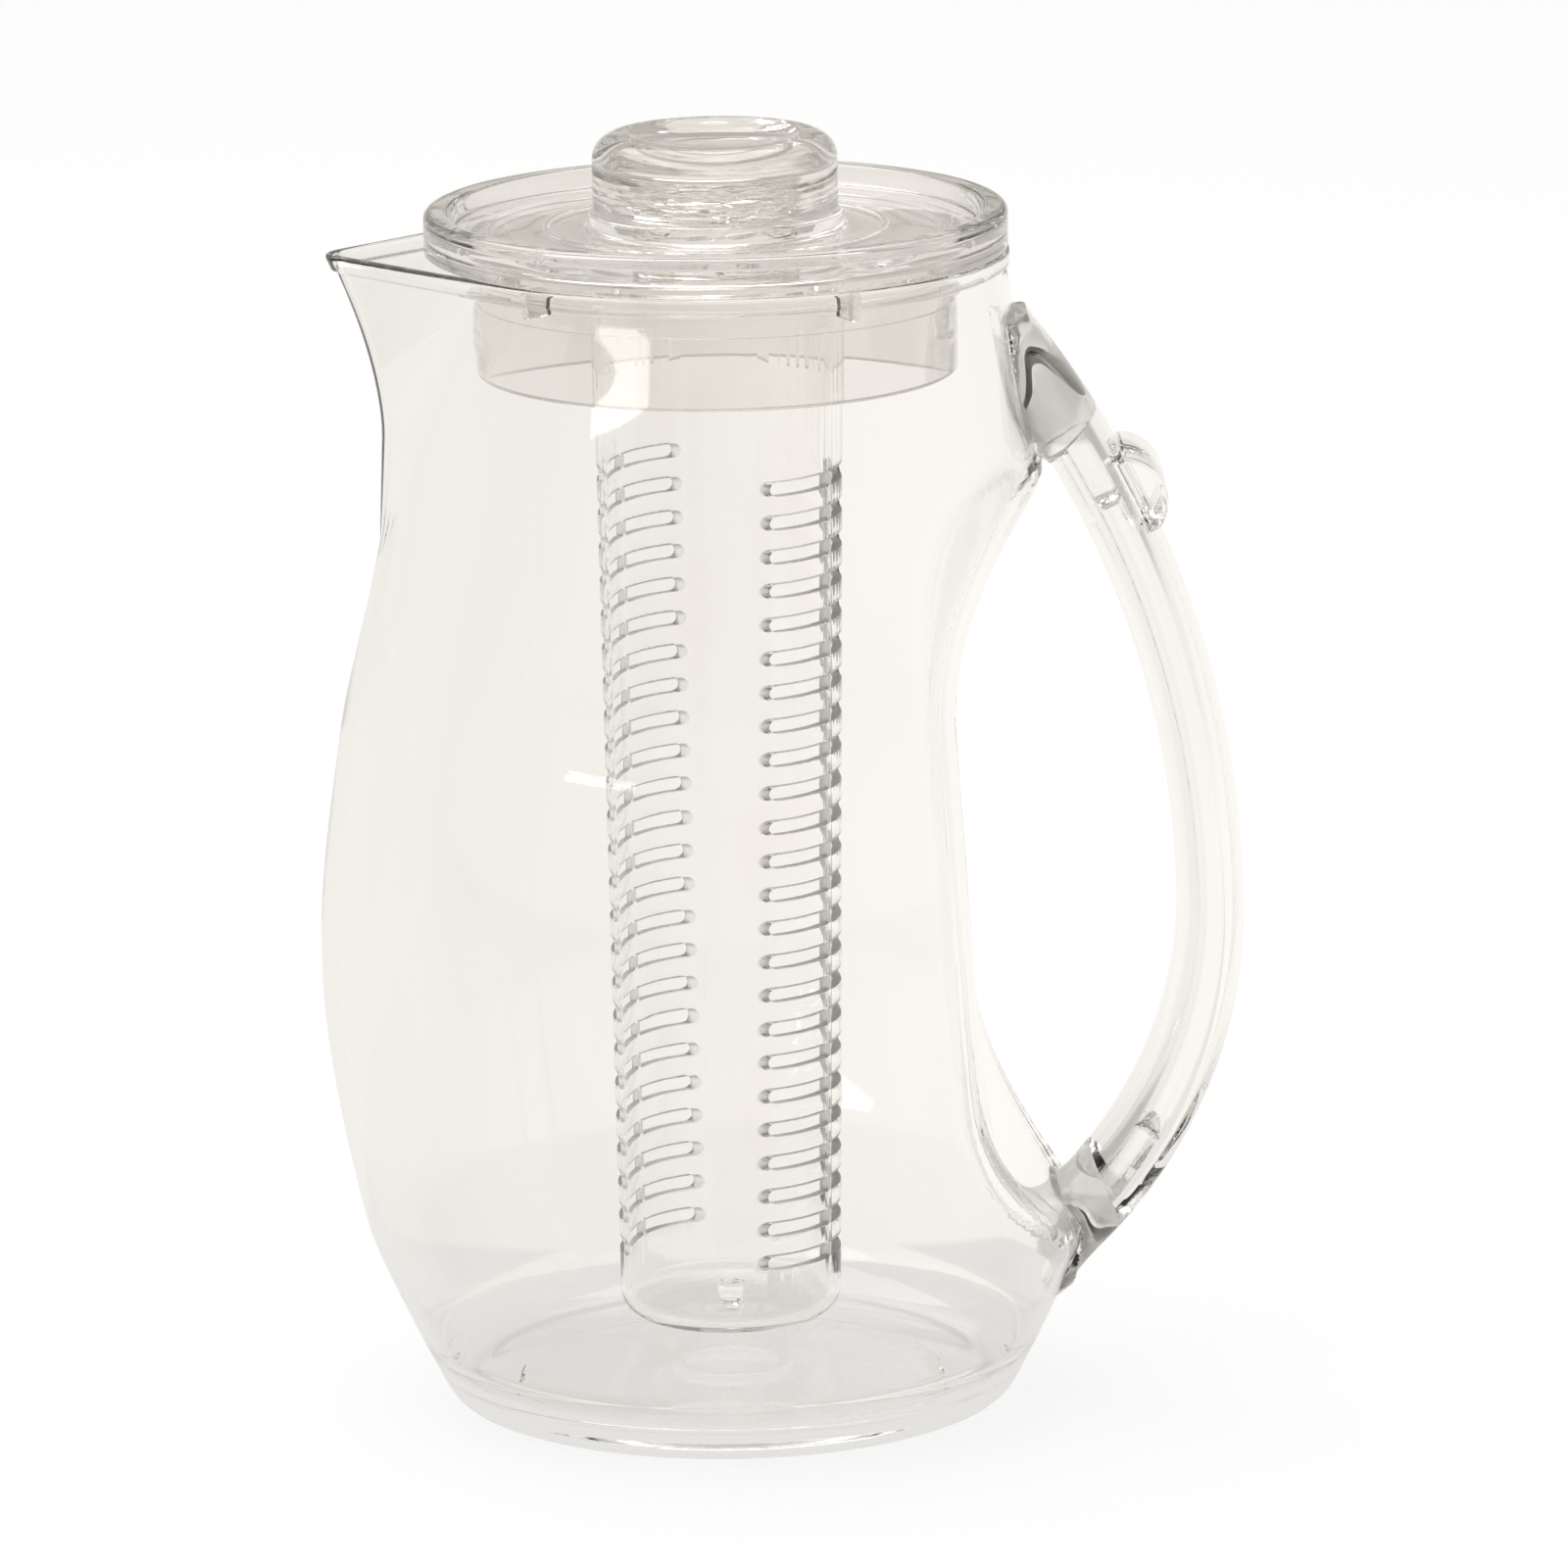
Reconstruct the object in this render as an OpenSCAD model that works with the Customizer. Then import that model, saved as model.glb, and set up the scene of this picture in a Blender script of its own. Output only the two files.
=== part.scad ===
// Fruit infuser pitcher: a clear pitcher with a bonded handle, a lift-off lid,
// and a slotted infuser tube that hangs from the lid by a screwed knob.
// Millimetres. +Z is up, -X is the spout, +X is the handle.
// The origin is on the pitcher's axis, on the face it stands on.

/* [Pitcher outline] */
// Outer radius of the foot, on the table
foot_r = 56.5; // [50:0.5:60]
// Outer radius of the heel, where the foot turns into the side
heel_r = 66; // [62:0.5:69]
// Height of the heel
heel_z = 19; // [15:0.5:23]
// Outer radius of the flank, below the belly
flank_r = 74.5; // [71:0.5:77]
// Height of the flank
flank_z = 40; // [34:1:48]
// Outer radius of the belly, the widest place
belly_r = 82; // [78:0.5:86]
// Height of the belly
belly_z = 90; // [80:1:100]
// Outer radius of the shoulder
shoulder_r = 77.4; // [75:0.2:79]
// Height of the shoulder
shoulder_z = 138; // [128:1:146]
// Outer radius of the chest, above the shoulder
chest_r = 70.6; // [68:0.2:73]
// Height of the chest
chest_z = 168; // [160:1:176]
// Outer radius of the neck
neck_r = 62.7; // [61:0.1:65]
// Height of the neck
neck_z = 205; // [200:1:210]
// Outer radius of the throat, just under the rim
throat_r = 57.9; // [57:0.1:58.5]
// Outer radius of the rim band
rim_r = 58.8; // [58.6:0.1:60]
// Height of the rim band
rim_band_h = 3.2; // [2:0.1:6]
// Height of the rim's top above the table
rim_z = 236.5; // [232:0.5:240]
// Thickness of the pitcher's wall
wall_t = 2.5; // [2:0.1:3]
// Thickness of the floor
floor_t = 5; // [3:0.5:7]
// Radius of the flat inside floor
floor_r = 43.6; // [40:0.2:46]
// Outer radius of the ring in the middle of the floor
floor_ring_r = 12.4; // [11:0.1:15]
// Radius inside that ring
floor_ring_bore_r = 9; // [7:0.1:10]
// Height of that ring above the floor
floor_ring_h = 1.5; // [1:0.1:3]

/* [Spout] */
// Reach of the spout's tip from the axis, at the rim
spout_reach = 77.6; // [74:0.2:79]
// Reach of the spout's nose where it starts to flare
spout_nose_x = 67.6; // [67:0.1:68.4]
// Height where the nose starts to flare
spout_flare_z = 200; // [196:1:206]
// Height where the spout leaves the side
spout_low_z = 176; // [172:1:182]
// Radius of the nose in plan
spout_nose_r = 7; // [6:0.2:9]
// Depth that the spout's solid sinks into the neck beside it
spout_sink = 0.3; // [0.2:0.05:0.5]

/* [Hand recess] */
// Radius of the recess's lower curve
recess_low_r = 52; // [48:1:56]
// Distance from the axis to the lower curve's centre
recess_low_x = 102.5; // [100:0.5:105]
// Height of the lower curve's centre
recess_low_z = 80; // [74:1:86]
// Radius of the recess's upper curve
recess_top_r = 50; // [46:1:54]
// Distance from the axis to the upper curve's centre
recess_top_x = 96; // [94:0.5:99]
// Height of the upper curve's centre
recess_top_z = 150; // [145:1:153]

/* [Handle] */
// Distance from the axis to the handle's middle, at its furthest place
handle_x = 98.2; // [96:0.2:101]
// Height of the handle's furthest place
handle_mid_z = 100; // [95:1:105]
// Radius of the handle's upper sweep
handle_top_r = 191.2; // [185:0.5:198]
// Radius of the handle's lower sweep
handle_low_r = 90.2; // [88:0.2:93]
// Thickness of the handle from palm to fingers
handle_t = 13.6; // [12.6:0.2:14.6]
// Thickness of the handle at its foot
handle_foot_t = 15.2; // [14:0.2:16]
// Width of the handle
handle_w = 26; // [22:0.5:30]
// Thickness of the hollow handle's wall
handle_wall_t = 3; // [2.4:0.1:3.6]
// Slope angle of the handle's upper joint with its stub
top_seam_deg = 31; // [29:0.5:33]
// Slope angle of the handle's lower joint with its stub
low_seam_deg = 40; // [37:0.5:43]
// Slope angle where the upper stub ends, inside the neck's wall
top_end_deg = 38; // [37:0.5:39]
// Slope angle where the lower stub ends, inside the heel's wall
low_end_deg = 58; // [56:0.5:60]
// Length of each spigot inside the handle
spigot_len = 15; // [10:1:20]
// Gap all round a spigot, filled with solvent cement
cement_gap = 0.1; // [0.05:0.05:0.2]

/* [Thumb rest] */
// Length of the thumb rest along the handle
thumb_len = 16.3; // [13:0.1:20]
// Height of the thumb rest above the handle
thumb_h = 5; // [4:0.1:6]
// Width of the thumb rest
thumb_w = 28; // [27:0.5:31]
// Height above the table of the thumb rest's middle
thumb_z = 185; // [180:1:188]

/* [Lid] */
// Outer radius of the lid
lid_r = 58.5; // [57.5:0.1:60]
// Height of the lid's raised edge above the rim
lid_edge_h = 8.5; // [7:0.5:10]
// Width of the lid's raised edge
lid_edge_w = 4.6; // [4:0.1:6]
// Rounding of the lid's raised edge
lid_edge_round = 1.5; // [1:0.1:2]
// Height of the lid plate's underside above the rim
plate_low = 1.5; // [1:0.1:2]
// Thickness of the lid's plate
plate_t = 3.2; // [2.6:0.1:3.6]
// Gap between the skirt and the pitcher's inside, which the drink flows through
pour_gap = 7.2; // [6:0.1:8.5]
// Thickness of the skirt
skirt_t = 2.3; // [1.8:0.1:2.8]
// Depth of the skirt below the rim
skirt_h = 24.3; // [20:0.1:28]
// Extra radius of the skirt's upper band
skirt_step = 0.5; // [0.3:0.1:0.8]
// Depth of the skirt's upper band below the rim
skirt_band_h = 9.5; // [8:0.5:12]
// Number of centring fins round the skirt
fin_count = 5; // [3:1:12]
// Thickness of a centring fin
fin_t = 1.8; // [1.4:0.1:2.4]
// Depth of a centring fin below the rim
fin_h = 6.7; // [5:0.1:8]
// Angle of the first fin round from the handle's side
fin_first_deg = -60.5; // [-70:0.5:-50]
// Gap between the fins and the pitcher's inside
fin_gap = 0.4; // [0.3:0.05:0.6]
// Outer radius of the collar under the knob
collar_r = 25.4; // [25:0.1:26.5]
// Height of the collar above the rim
collar_h = 8; // [7:0.2:9]

/* [Knob] */
// Outer radius of the knob
knob_r = 24.6; // [24:0.1:25]
// Height of the knob
knob_h = 15.4; // [13:0.1:18]
// Rounding of the knob's shoulder
knob_round = 7; // [5:0.5:8]
// Radius of the dish in the knob's top
dish_r = 15.6; // [14:0.1:16.5]
// Depth of that dish
dish_h = 3; // [2:0.1:4]
// Thickness of the knob's roof under the dish
knob_roof_t = 3.5; // [3:0.1:4]

/* [Infuser] */
// Outer radius of the infuser tube at its top
tube_top_r = 25.3; // [24.5:0.1:26]
// Outer radius of the infuser tube at its bottom
tube_low_r = 22.4; // [21.5:0.1:23]
// Height of the tube's underside above the table
tube_low_z = 17; // [14:0.5:20]
// Thickness of the tube's wall
tube_wall_t = 2; // [1.6:0.1:2.4]
// Rounding of the tube's closed bottom
tube_round = 5; // [4:0.5:6]
// Rounding of the tube's shoulder under the lid
tube_shoulder = 4; // [3:0.5:5]
// Outer radius of the threaded neck
thread_r = 17; // [16:0.1:17.6]
// Gap between the threaded neck's top and the knob's roof
thread_clear = 1.5; // [1:0.1:2.5]
// Number of slots in each column
slot_rows = 24; // [8:1:26]
// Height of a slot
slot_h = 2.7; // [2:0.1:3.4]
// Height of the lowest row's middle above the table
slot_low_z = 32; // [28:1:34]
// Distance from one row to the next
slot_pitch = 6.93; // [6:0.01:7.2]
// Half the width of the rib between two slots
rib_half_w = 0.9; // [0.6:0.1:1.4]
// Distance from the rib's middle to a slot's rounded end
slot_reach = 15.4; // [12:0.1:16]
// Direction of the nearer column of slots, round from the handle
slot_deg = -27; // [-90:1:90]

/* [Fits] */
// Radial running gap of the neck in the lid and the knob
run_gap = 0.06; // [0.03:0.01:0.1]
// Gap under a face that rests on another piece
rest_gap = 0.1; // [0.05:0.01:0.2]

/* [Hidden] */

$fn = 96;

// Sides of the pitcher's turned wall, inside and out
body_sides = 72;
// Straight steps in each stretch of the pitcher's outline
outline_steps = 4;
// Levels in the spout's solid
spout_levels = 11;
// Points across half the spout in each level
spout_points = 10;
// Points round the rest of the rim band
rim_points = 54;
// Straight steps in each curve of the hand recess
recess_steps = 12;
// Steps along the handle, and points round it
handle_steps = 36;
handle_points = 28;
// Share that shapes how fast the spout flares
flare_power = 1.7;
// Share that squares up the handle's oval section
squareness_share = 0.72;

// Where a turned wall's seam lies, clear of the spout and the recess
seam_deg = 100;

// How far a cutting solid runs past what it cuts
overrun = 1;

throat_z = rim_z - rim_band_h;

// Corners that the outline passes through
stations = [
    [foot_r, 0],
    [heel_r, heel_z],
    [flank_r, flank_z],
    [belly_r, belly_z],
    [shoulder_r, shoulder_z],
    [chest_r, chest_z],
    [neck_r, neck_z],
    [throat_r, throat_z]
];
last = len(stations) - 1;

// Slope of the outline at each station
function slope(i) =
    let (a = stations[max(i - 1, 0)], b = stations[min(i + 1, last)])
    (b[0] - a[0]) / (b[1] - a[1]);

// Cubic curve between stations i and i + 1, at share t of the way up
function span_r(i, t) =
    let (
        a = stations[i],
        b = stations[i + 1],
        h = b[1] - a[1],
        t2 = t * t,
        t3 = t2 * t
    )
    a[0] * (2 * t3 - 3 * t2 + 1) + b[0] * (3 * t2 - 2 * t3)
        + h * (slope(i) * (t3 - 2 * t2 + t) + slope(i + 1) * (t3 - t2));

function station_below(z, i = 0) =
    i >= last - 1 || z < stations[i + 1][1] ? i : station_below(z, i + 1);

// Outer radius of the pitcher at any height
function outer_r(z) =
    let (
        i = station_below(z),
        a = stations[i][1],
        b = stations[i + 1][1]
    )
    span_r(i, (z - a) / (b - a));

// Heights at which the outline has a corner
side_heights = concat(
    [for (i = [0 : last - 1])
        for (k = [0 : outline_steps - 1])
            stations[i][1] + (stations[i + 1][1] - stations[i][1]) * k / outline_steps],
    [throat_z]
);

// Share of the way from a straight slope to a quarter arc in the inside corner
cove_share = 0.5;

// Hollow curve from a, where it leaves a level floor, up to b
function cove(a, b, steps) =
    [for (k = [0 : steps])
        let (
            t = 90 * k / steps,
            bow = [sin(t), 1 - cos(t)],
            straight = [k / steps, k / steps],
            at = straight + (bow - straight) * cove_share
        )
        [a[0] + (b[0] - a[0]) * at[0], a[1] + (b[1] - a[1]) * at[1]]];

module outer_turning() {
    rotate([0, 0, seam_deg])
        rotate_extrude($fn = body_sides)
            polygon(concat(
                [[0, 0]],
                [for (z = side_heights) [outer_r(z), z]],
                [[throat_r, rim_z - overrun], [0, rim_z - overrun]]
            ));
}

module inner_turning() {
    inside = [for (z = side_heights) if (z > heel_z) [outer_r(z) - wall_t, z]];
    rotate([0, 0, seam_deg])
        rotate_extrude($fn = body_sides)
            polygon(concat(
                [[0, floor_t]],
                cove([floor_r, floor_t], inside[0], outline_steps),
                [for (i = [1 : len(inside) - 1]) inside[i]],
                [[throat_r - wall_t, rim_z + overrun], [0, rim_z + overrun]]
            ));
}

// A closed solid through rings that have equal numbers of points
module loft(rings) {
    n = len(rings[0]);
    m = len(rings);
    points = [for (ring = rings) for (p = ring) p];
    low_cap = [[for (j = [0 : n - 1]) j]];
    top_cap = [[for (j = [n - 1 : -1 : 0]) (m - 1) * n + j]];
    sides = [for (i = [0 : m - 2]) for (j = [0 : n - 1])
        let (
            a = i * n + j,
            b = i * n + (j + 1) % n
        )
        for (face = [[a, a + n, b], [b, a + n, b + n]]) face];
    polyhedron(points = points, faces = concat(low_cap, top_cap, sides));
}

// Reach of the spout's nose at a height
function nose_x(z) =
    z < spout_flare_z
        ? let (low = outer_r(spout_low_z) - spout_sink)
            low + (spout_nose_x - low) * (z - spout_low_z) / (spout_flare_z - spout_low_z)
        : spout_nose_x + (spout_reach - spout_nose_x)
            * pow((z - spout_flare_z) / (rim_z - spout_flare_z), flare_power);

// Radius of the spout's plan at angle q from the nose: a circle of radius r
// round the axis, two tangent sides, and a nose of radius e that reaches x
function spout_plan(q, r, x, e) =
    let (
        d = x - e,
        side = acos(min((r - e) / d, 1)),
        tip = atan2(e * sin(side), d + e * cos(side))
    )
    q >= side ? r
        : q >= tip ? r / cos(side - q)
        : d * cos(q) + sqrt(max(e * e - pow(d * sin(q), 2), 0));

// Levels of the spout from where it leaves the side up to the rim
spout_heights = [for (i = [0 : spout_levels])
    spout_low_z + (rim_z - spout_low_z) * i / spout_levels];

// One level of the rim band: a circle with the spout's sides and nose in it
function rim_ring(z) =
    let (
        proud = rim_r - throat_r,
        x = nose_x(z) + proud,
        e = spout_nose_r + proud,
        side = acos((rim_r - e) / (x - e)),
        turns = concat(
            [for (k = [-spout_points : spout_points]) side * k / spout_points],
            [for (k = [1 : rim_points - 1])
                side + (360 - 2 * side) * k / rim_points]
        )
    )
    [for (q = turns)
        let (r = spout_plan(abs(q), rim_r, x, e))
        [-r * cos(q), -r * sin(q), z]];

// The spout as a solid wedge from the axis, drawn in by inset all over
module spout_solid(inset, heights) {
    rings = [for (z = heights)
        let (
            h = min(z, rim_z),
            base = outer_r(min(h, throat_z)) - spout_sink - inset,
            x = max(nose_x(h) - inset, base + spout_sink / 2),
            e = spout_nose_r - inset,
            side = acos(min((base - e) / (x - e), 1))
        )
        concat(
            [[0, 0, z]],
            [for (k = [-spout_points : spout_points])
                let (
                    q = side * k / spout_points,
                    r = spout_plan(abs(q), base, x, e)
                )
                [-r * cos(q), -r * sin(q), z]]
        )];
    loft(rings);
}

function arc(centre, r, from, to, steps) =
    [for (k = [0 : steps])
        let (a = from + (to - from) * k / steps)
        centre + r * [cos(a), sin(a)]];

// The hand recess's cutter: two curves and the straight that touches both.
// Grown by a wall's thickness, it shapes the inside.
module recess(grow) {
    low = [recess_low_x, recess_low_z];
    top = [recess_top_x, recess_top_z];
    d = top - low;
    touch = atan2(d[1], d[0]) + acos((recess_low_r - recess_top_r) / norm(d));
    rotate([90, 0, 0])
        linear_extrude(height = 2 * (belly_r + overrun), center = true)
            polygon(concat(
                arc(low, recess_low_r + grow, 270, touch, recess_steps),
                arc(top, recess_top_r + grow, touch, 90, recess_steps)
            ));
}

// A point of the handle's middle line at slope angle q: up is plus
function handle_sweep_r(q) = q >= 0 ? handle_top_r : handle_low_r;
function handle_at(q) =
    let (r = handle_sweep_r(q))
    [handle_x - r + r * cos(q), handle_mid_z + r * sin(q)];

// Thickness of the handle, which grows towards its foot
function handle_thick(q) =
    handle_t + (handle_foot_t - handle_t) * min(max(-q / low_seam_deg, 0), 1);

// One ring round the handle, drawn in by inset and sheared along the handle
function handle_ring(q, inset, shear) =
    let (
        p = handle_at(q),
        thick = handle_thick(q),
        half_t = thick / 2 - inset,
        half_w = handle_w / 2 - inset,
        back = (thick - handle_t) / 2
    )
    [for (j = [0 : handle_points - 1])
        let (
            a = 360 * j / handle_points,
            c = cos(a),
            s = sin(a),
            u = half_t * sign(c) * pow(abs(c), squareness_share) - back,
            v = half_w * sign(s) * pow(abs(s), squareness_share)
        )
        [p[0] + u * cos(q) - u * shear * sin(q), v, p[1] + u * sin(q) + u * shear * cos(q)]];

// Lean of each joint against square across the handle
top_lean_share = 0.3;
low_lean_share = -0.5;

// The handle's solid between two slope angles, with a lean at each end
module handle_solid(from, to, inset, from_lean, to_lean) {
    steps = max(round(handle_steps * (to - from) / (top_end_deg + low_end_deg)), 2);
    loft([for (i = [0 : steps])
        let (
            t = i / steps,
            lean = from_lean * pow(1 - t, 2) + to_lean * t * t
        )
        handle_ring(from + (to - from) * t, inset, lean)]);
}

// A straight spigot's length as a change of slope angle
function spigot_deg(q) = spigot_len / handle_sweep_r(q) * 180 / PI;

module stubs() {
    inset = handle_wall_t + cement_gap;
    handle_solid(top_seam_deg, top_end_deg, 0, top_lean_share, 0);
    handle_solid(top_seam_deg - spigot_deg(1), top_end_deg, inset, 0, 0);
    handle_solid(-low_end_deg, -low_seam_deg, 0, 0, low_lean_share);
    handle_solid(-low_end_deg, -low_seam_deg + spigot_deg(-1), inset, 0, 0);
}

module body_void() {
    difference() {
        union() {
            inner_turning();
            spout_solid(wall_t, concat(spout_heights, [rim_z + 2 * overrun]));
        }
        recess(wall_t);
    }
}

module floor_ring() {
    translate([0, 0, floor_t - overrun])
        difference() {
            cylinder(r = floor_ring_r, h = floor_ring_h + overrun);
            translate([0, 0, overrun])
                cylinder(r = floor_ring_bore_r, h = floor_ring_h + overrun);
        }
}

// Clear pitcher with its spout, hand recess and the two handle stubs
module pitcher_body() {
    color([0.94, 0.93, 0.91, 0.35]) {
        difference() {
            union() {
                difference() {
                    union() {
                        outer_turning();
                        spout_solid(0, [for (z = spout_heights) min(z, rim_z - overrun)]);
                        loft([rim_ring(throat_z), rim_ring(rim_z)]);
                    }
                    recess(0);
                }
                stubs();
            }
            body_void();
        }
        floor_ring();
    }
}

// The thumb rest's D section lies along the handle's outer face
module thumb_rest() {
    q = asin((thumb_z - handle_mid_z) / handle_top_r);
    face = handle_top_r + handle_t / 2;
    half = thumb_len / 2;
    arc_r = (half * half + thumb_h * thumb_h) / (2 * thumb_h);
    root = handle_wall_t;
    translate([handle_x - handle_top_r, 0, handle_mid_z])
        rotate([90, 0, 0])
            linear_extrude(height = thumb_w, center = true)
                rotate(q)
                    translate([face, 0])
                        intersection() {
                            translate([thumb_h - arc_r, 0])
                                circle(r = arc_r);
                            translate([-root, -half])
                                square([root + thumb_h, thumb_len]);
                        }
}

// Hollow curved handle, cemented over the pitcher's two spigots
module handle() {
    color([0.96, 0.95, 0.93, 0.45]) {
        difference() {
            union() {
                handle_solid(-low_seam_deg, top_seam_deg, 0, low_lean_share, top_lean_share);
                thumb_rest();
            }
            handle_solid(-low_seam_deg - spigot_deg(-1), top_seam_deg + spigot_deg(1),
                handle_wall_t, 0, 0);
        }
    }
}

// Outer radius of the skirt
skirt_r = throat_r - wall_t - pour_gap;
plate_z = rim_z + plate_low;
collar_top = rim_z + collar_h;
knob_low = collar_top + rest_gap;
knob_top = knob_low + knob_h;
knob_bore_top = knob_top - dish_h - knob_roof_t;

module lid_turning() {
    edge_top = rim_z + lid_edge_h;
    step_top = rim_z - skirt_band_h;
    inside = skirt_r - skirt_t;
    floor_top = plate_z + plate_t;
    rotate_extrude()
        polygon(concat(
            [
                [thread_r + run_gap, plate_z],
                [inside, plate_z],
                [inside, rim_z - skirt_h],
                [skirt_r, rim_z - skirt_h],
                [skirt_r, step_top],
                [skirt_r + skirt_step, step_top],
                [skirt_r + skirt_step, rim_z + rest_gap],
                [lid_r, rim_z + rest_gap]
            ],
            [for (k = [0 : outline_steps])
                let (a = 90 * k / outline_steps)
                [
                    lid_r - lid_edge_round + lid_edge_round * cos(a),
                    edge_top - lid_edge_round + lid_edge_round * sin(a)
                ]],
            [
                [lid_r - lid_edge_w, edge_top],
                [lid_r - lid_edge_w - lid_edge_round, floor_top],
                [collar_r + lid_edge_round, floor_top],
                [collar_r, floor_top + lid_edge_round],
                [collar_r, collar_top],
                [thread_r + run_gap, collar_top]
            ]
        ));
}

module fins() {
    reach = throat_r - wall_t - fin_gap;
    for (i = [0 : fin_count - 1])
        rotate([0, 0, fin_first_deg + 360 * i / fin_count])
            translate([skirt_r - skirt_t / 2, -fin_t / 2, rim_z - fin_h])
                cube([reach - skirt_r + skirt_t / 2, fin_t, fin_h + plate_low]);
}

// Lid with its raised edge, skirt, centring fins and collar
module lid() {
    color([0.86, 0.84, 0.81, 0.45]) {
        lid_turning();
        fins();
    }
}

// Knob: a dished cap that screws onto the tube's neck
module knob() {
    dish_arc = (dish_r * dish_r + dish_h * dish_h) / (2 * dish_h);
    color([0.86, 0.84, 0.81, 0.45])
        difference() {
            rotate_extrude()
                polygon(concat(
                    [[0, knob_low], [knob_r, knob_low]],
                    [for (k = [0 : 2 * outline_steps])
                        let (a = 90 * k / (2 * outline_steps))
                        [
                            knob_r - knob_round + knob_round * cos(a),
                            knob_top - knob_round + knob_round * sin(a)
                        ]],
                    [[0, knob_top]]
                ));
            translate([0, 0, knob_top - dish_h + dish_arc])
                sphere(r = dish_arc);
            translate([0, 0, knob_low - overrun])
                cylinder(r = thread_r + run_gap, h = knob_bore_top - knob_low + overrun);
        }
}

function tube_r(z) =
    tube_low_r + (tube_top_r - tube_low_r) * (z - tube_low_z) / (rim_z - tube_low_z);

module tube_turning() {
    head = plate_z - rest_gap;
    side_top = head - tube_shoulder;
    mouth = thread_r - tube_wall_t;
    neck_top = knob_bore_top - thread_clear;
    inner_low = tube_low_z + tube_wall_t;
    inner_round = tube_round - tube_wall_t;
    rotate_extrude()
        polygon(concat(
            [[0, tube_low_z]],
            [for (k = [0 : outline_steps])
                let (a = 90 * k / outline_steps)
                [
                    tube_low_r - tube_round + tube_round * sin(a),
                    tube_low_z + tube_round - tube_round * cos(a)
                ]],
            [for (k = [0 : outline_steps])
                let (a = 90 * k / outline_steps)
                [
                    tube_r(side_top) - tube_shoulder + tube_shoulder * cos(a),
                    side_top + tube_shoulder * sin(a)
                ]],
            [
                [thread_r, head],
                [thread_r, neck_top],
                [mouth, neck_top],
                [mouth, head - tube_wall_t]
            ],
            [for (k = [outline_steps : -1 : 0])
                let (a = 90 * k / outline_steps, r = tube_shoulder - tube_wall_t)
                [
                    tube_r(side_top) - tube_shoulder + r * cos(a),
                    side_top + r * sin(a)
                ]],
            [for (k = [outline_steps : -1 : 0])
                let (a = 90 * k / outline_steps)
                [
                    tube_low_r - tube_round + inner_round * sin(a),
                    inner_low + inner_round - inner_round * cos(a)
                ]],
            [[0, inner_low]]
        ));
}

// One column: pairs of D slots, back to back on each side of a rib
module slot_column() {
    r = slot_h / 2;
    for (i = [0 : slot_rows - 1])
        translate([0, slot_low_z + i * slot_pitch])
            for (side = [0, 1])
                mirror([side, 0]) {
                    translate([rib_half_w, -r])
                        square([slot_reach - r - rib_half_w, slot_h]);
                    translate([slot_reach - r, 0])
                        circle(r = r);
                }
}

// Infuser tube with its closed bottom, two columns of slots and threaded neck
module infuser_tube() {
    color([0.90, 0.89, 0.87, 0.45])
        difference() {
            tube_turning();
            for (half = [0, 180])
                rotate([0, 0, slot_deg + half])
                    rotate([90, 0, 90])
                        linear_extrude(height = tube_top_r + overrun)
                            slot_column();
        }
}

pitcher_body();
handle();
lid();
knob();
infuser_tube();
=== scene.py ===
"""Dressed scene of a clear fruit infuser pitcher, in metres, in the CAD frame.

+Z is up, -X is the spout, +X is the handle. Every shown piece stands for one
CAD node and has that node's sizes, with rounded edges, real wall thickness,
threads and slots. Sizes below are in millimetres until a mesh is an object.
"""

import enum
import logging
import math
from collections.abc import Callable, Sequence
from dataclasses import dataclass

import bmesh
import bpy
from mathutils import Matrix, Vector


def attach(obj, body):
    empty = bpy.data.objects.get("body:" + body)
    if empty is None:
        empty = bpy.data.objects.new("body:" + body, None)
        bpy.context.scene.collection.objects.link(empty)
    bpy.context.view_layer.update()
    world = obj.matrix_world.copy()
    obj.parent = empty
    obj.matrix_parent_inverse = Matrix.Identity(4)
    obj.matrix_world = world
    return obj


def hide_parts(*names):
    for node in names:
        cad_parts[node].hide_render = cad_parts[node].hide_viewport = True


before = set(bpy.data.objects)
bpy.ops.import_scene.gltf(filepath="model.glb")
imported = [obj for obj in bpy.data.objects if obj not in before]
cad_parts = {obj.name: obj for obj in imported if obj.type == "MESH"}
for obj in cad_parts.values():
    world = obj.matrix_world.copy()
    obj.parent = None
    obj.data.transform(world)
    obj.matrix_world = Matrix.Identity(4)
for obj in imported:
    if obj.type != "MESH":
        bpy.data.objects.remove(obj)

LOG = logging.getLogger("pitcher")

MM = 0.001
PHOTO_PIXELS = 1600

# An edge between faces that meet at more than this stays crisp
CRISP_DEG = 21.0
# Points this close are one point, in millimetres
SAME_POINT = 1e-4
# A full turn is spun as an eighth and doubled this many times, which is quick
DOUBLINGS = 3

ORIGIN = (0.0, 0.0, 0.0)
UPWARDS = (0.0, 0.0, 1.0)
# Steps in the rounding of a bevelled edge
BEVEL_STEPS = 3
# Points of an outline this close repeat each other, in millimetres
REPEATED = 1e-3
# A face whose normal has more than this along Y is an end of the thumb rest
END_FACING = 0.99
# Turns a section upwards round the centre of its sweep
SWEEP_AXIS = (0.0, -1.0, 0.0)
SENSOR_MM = 36.0

Point = tuple[float, float]
Corner = tuple[float, float, float]
Place = tuple[float, float, float]
Colour = tuple[float, float, float]
Geom = Sequence[bmesh.types.BMVert | bmesh.types.BMEdge | bmesh.types.BMFace]


# Shader maths


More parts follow.
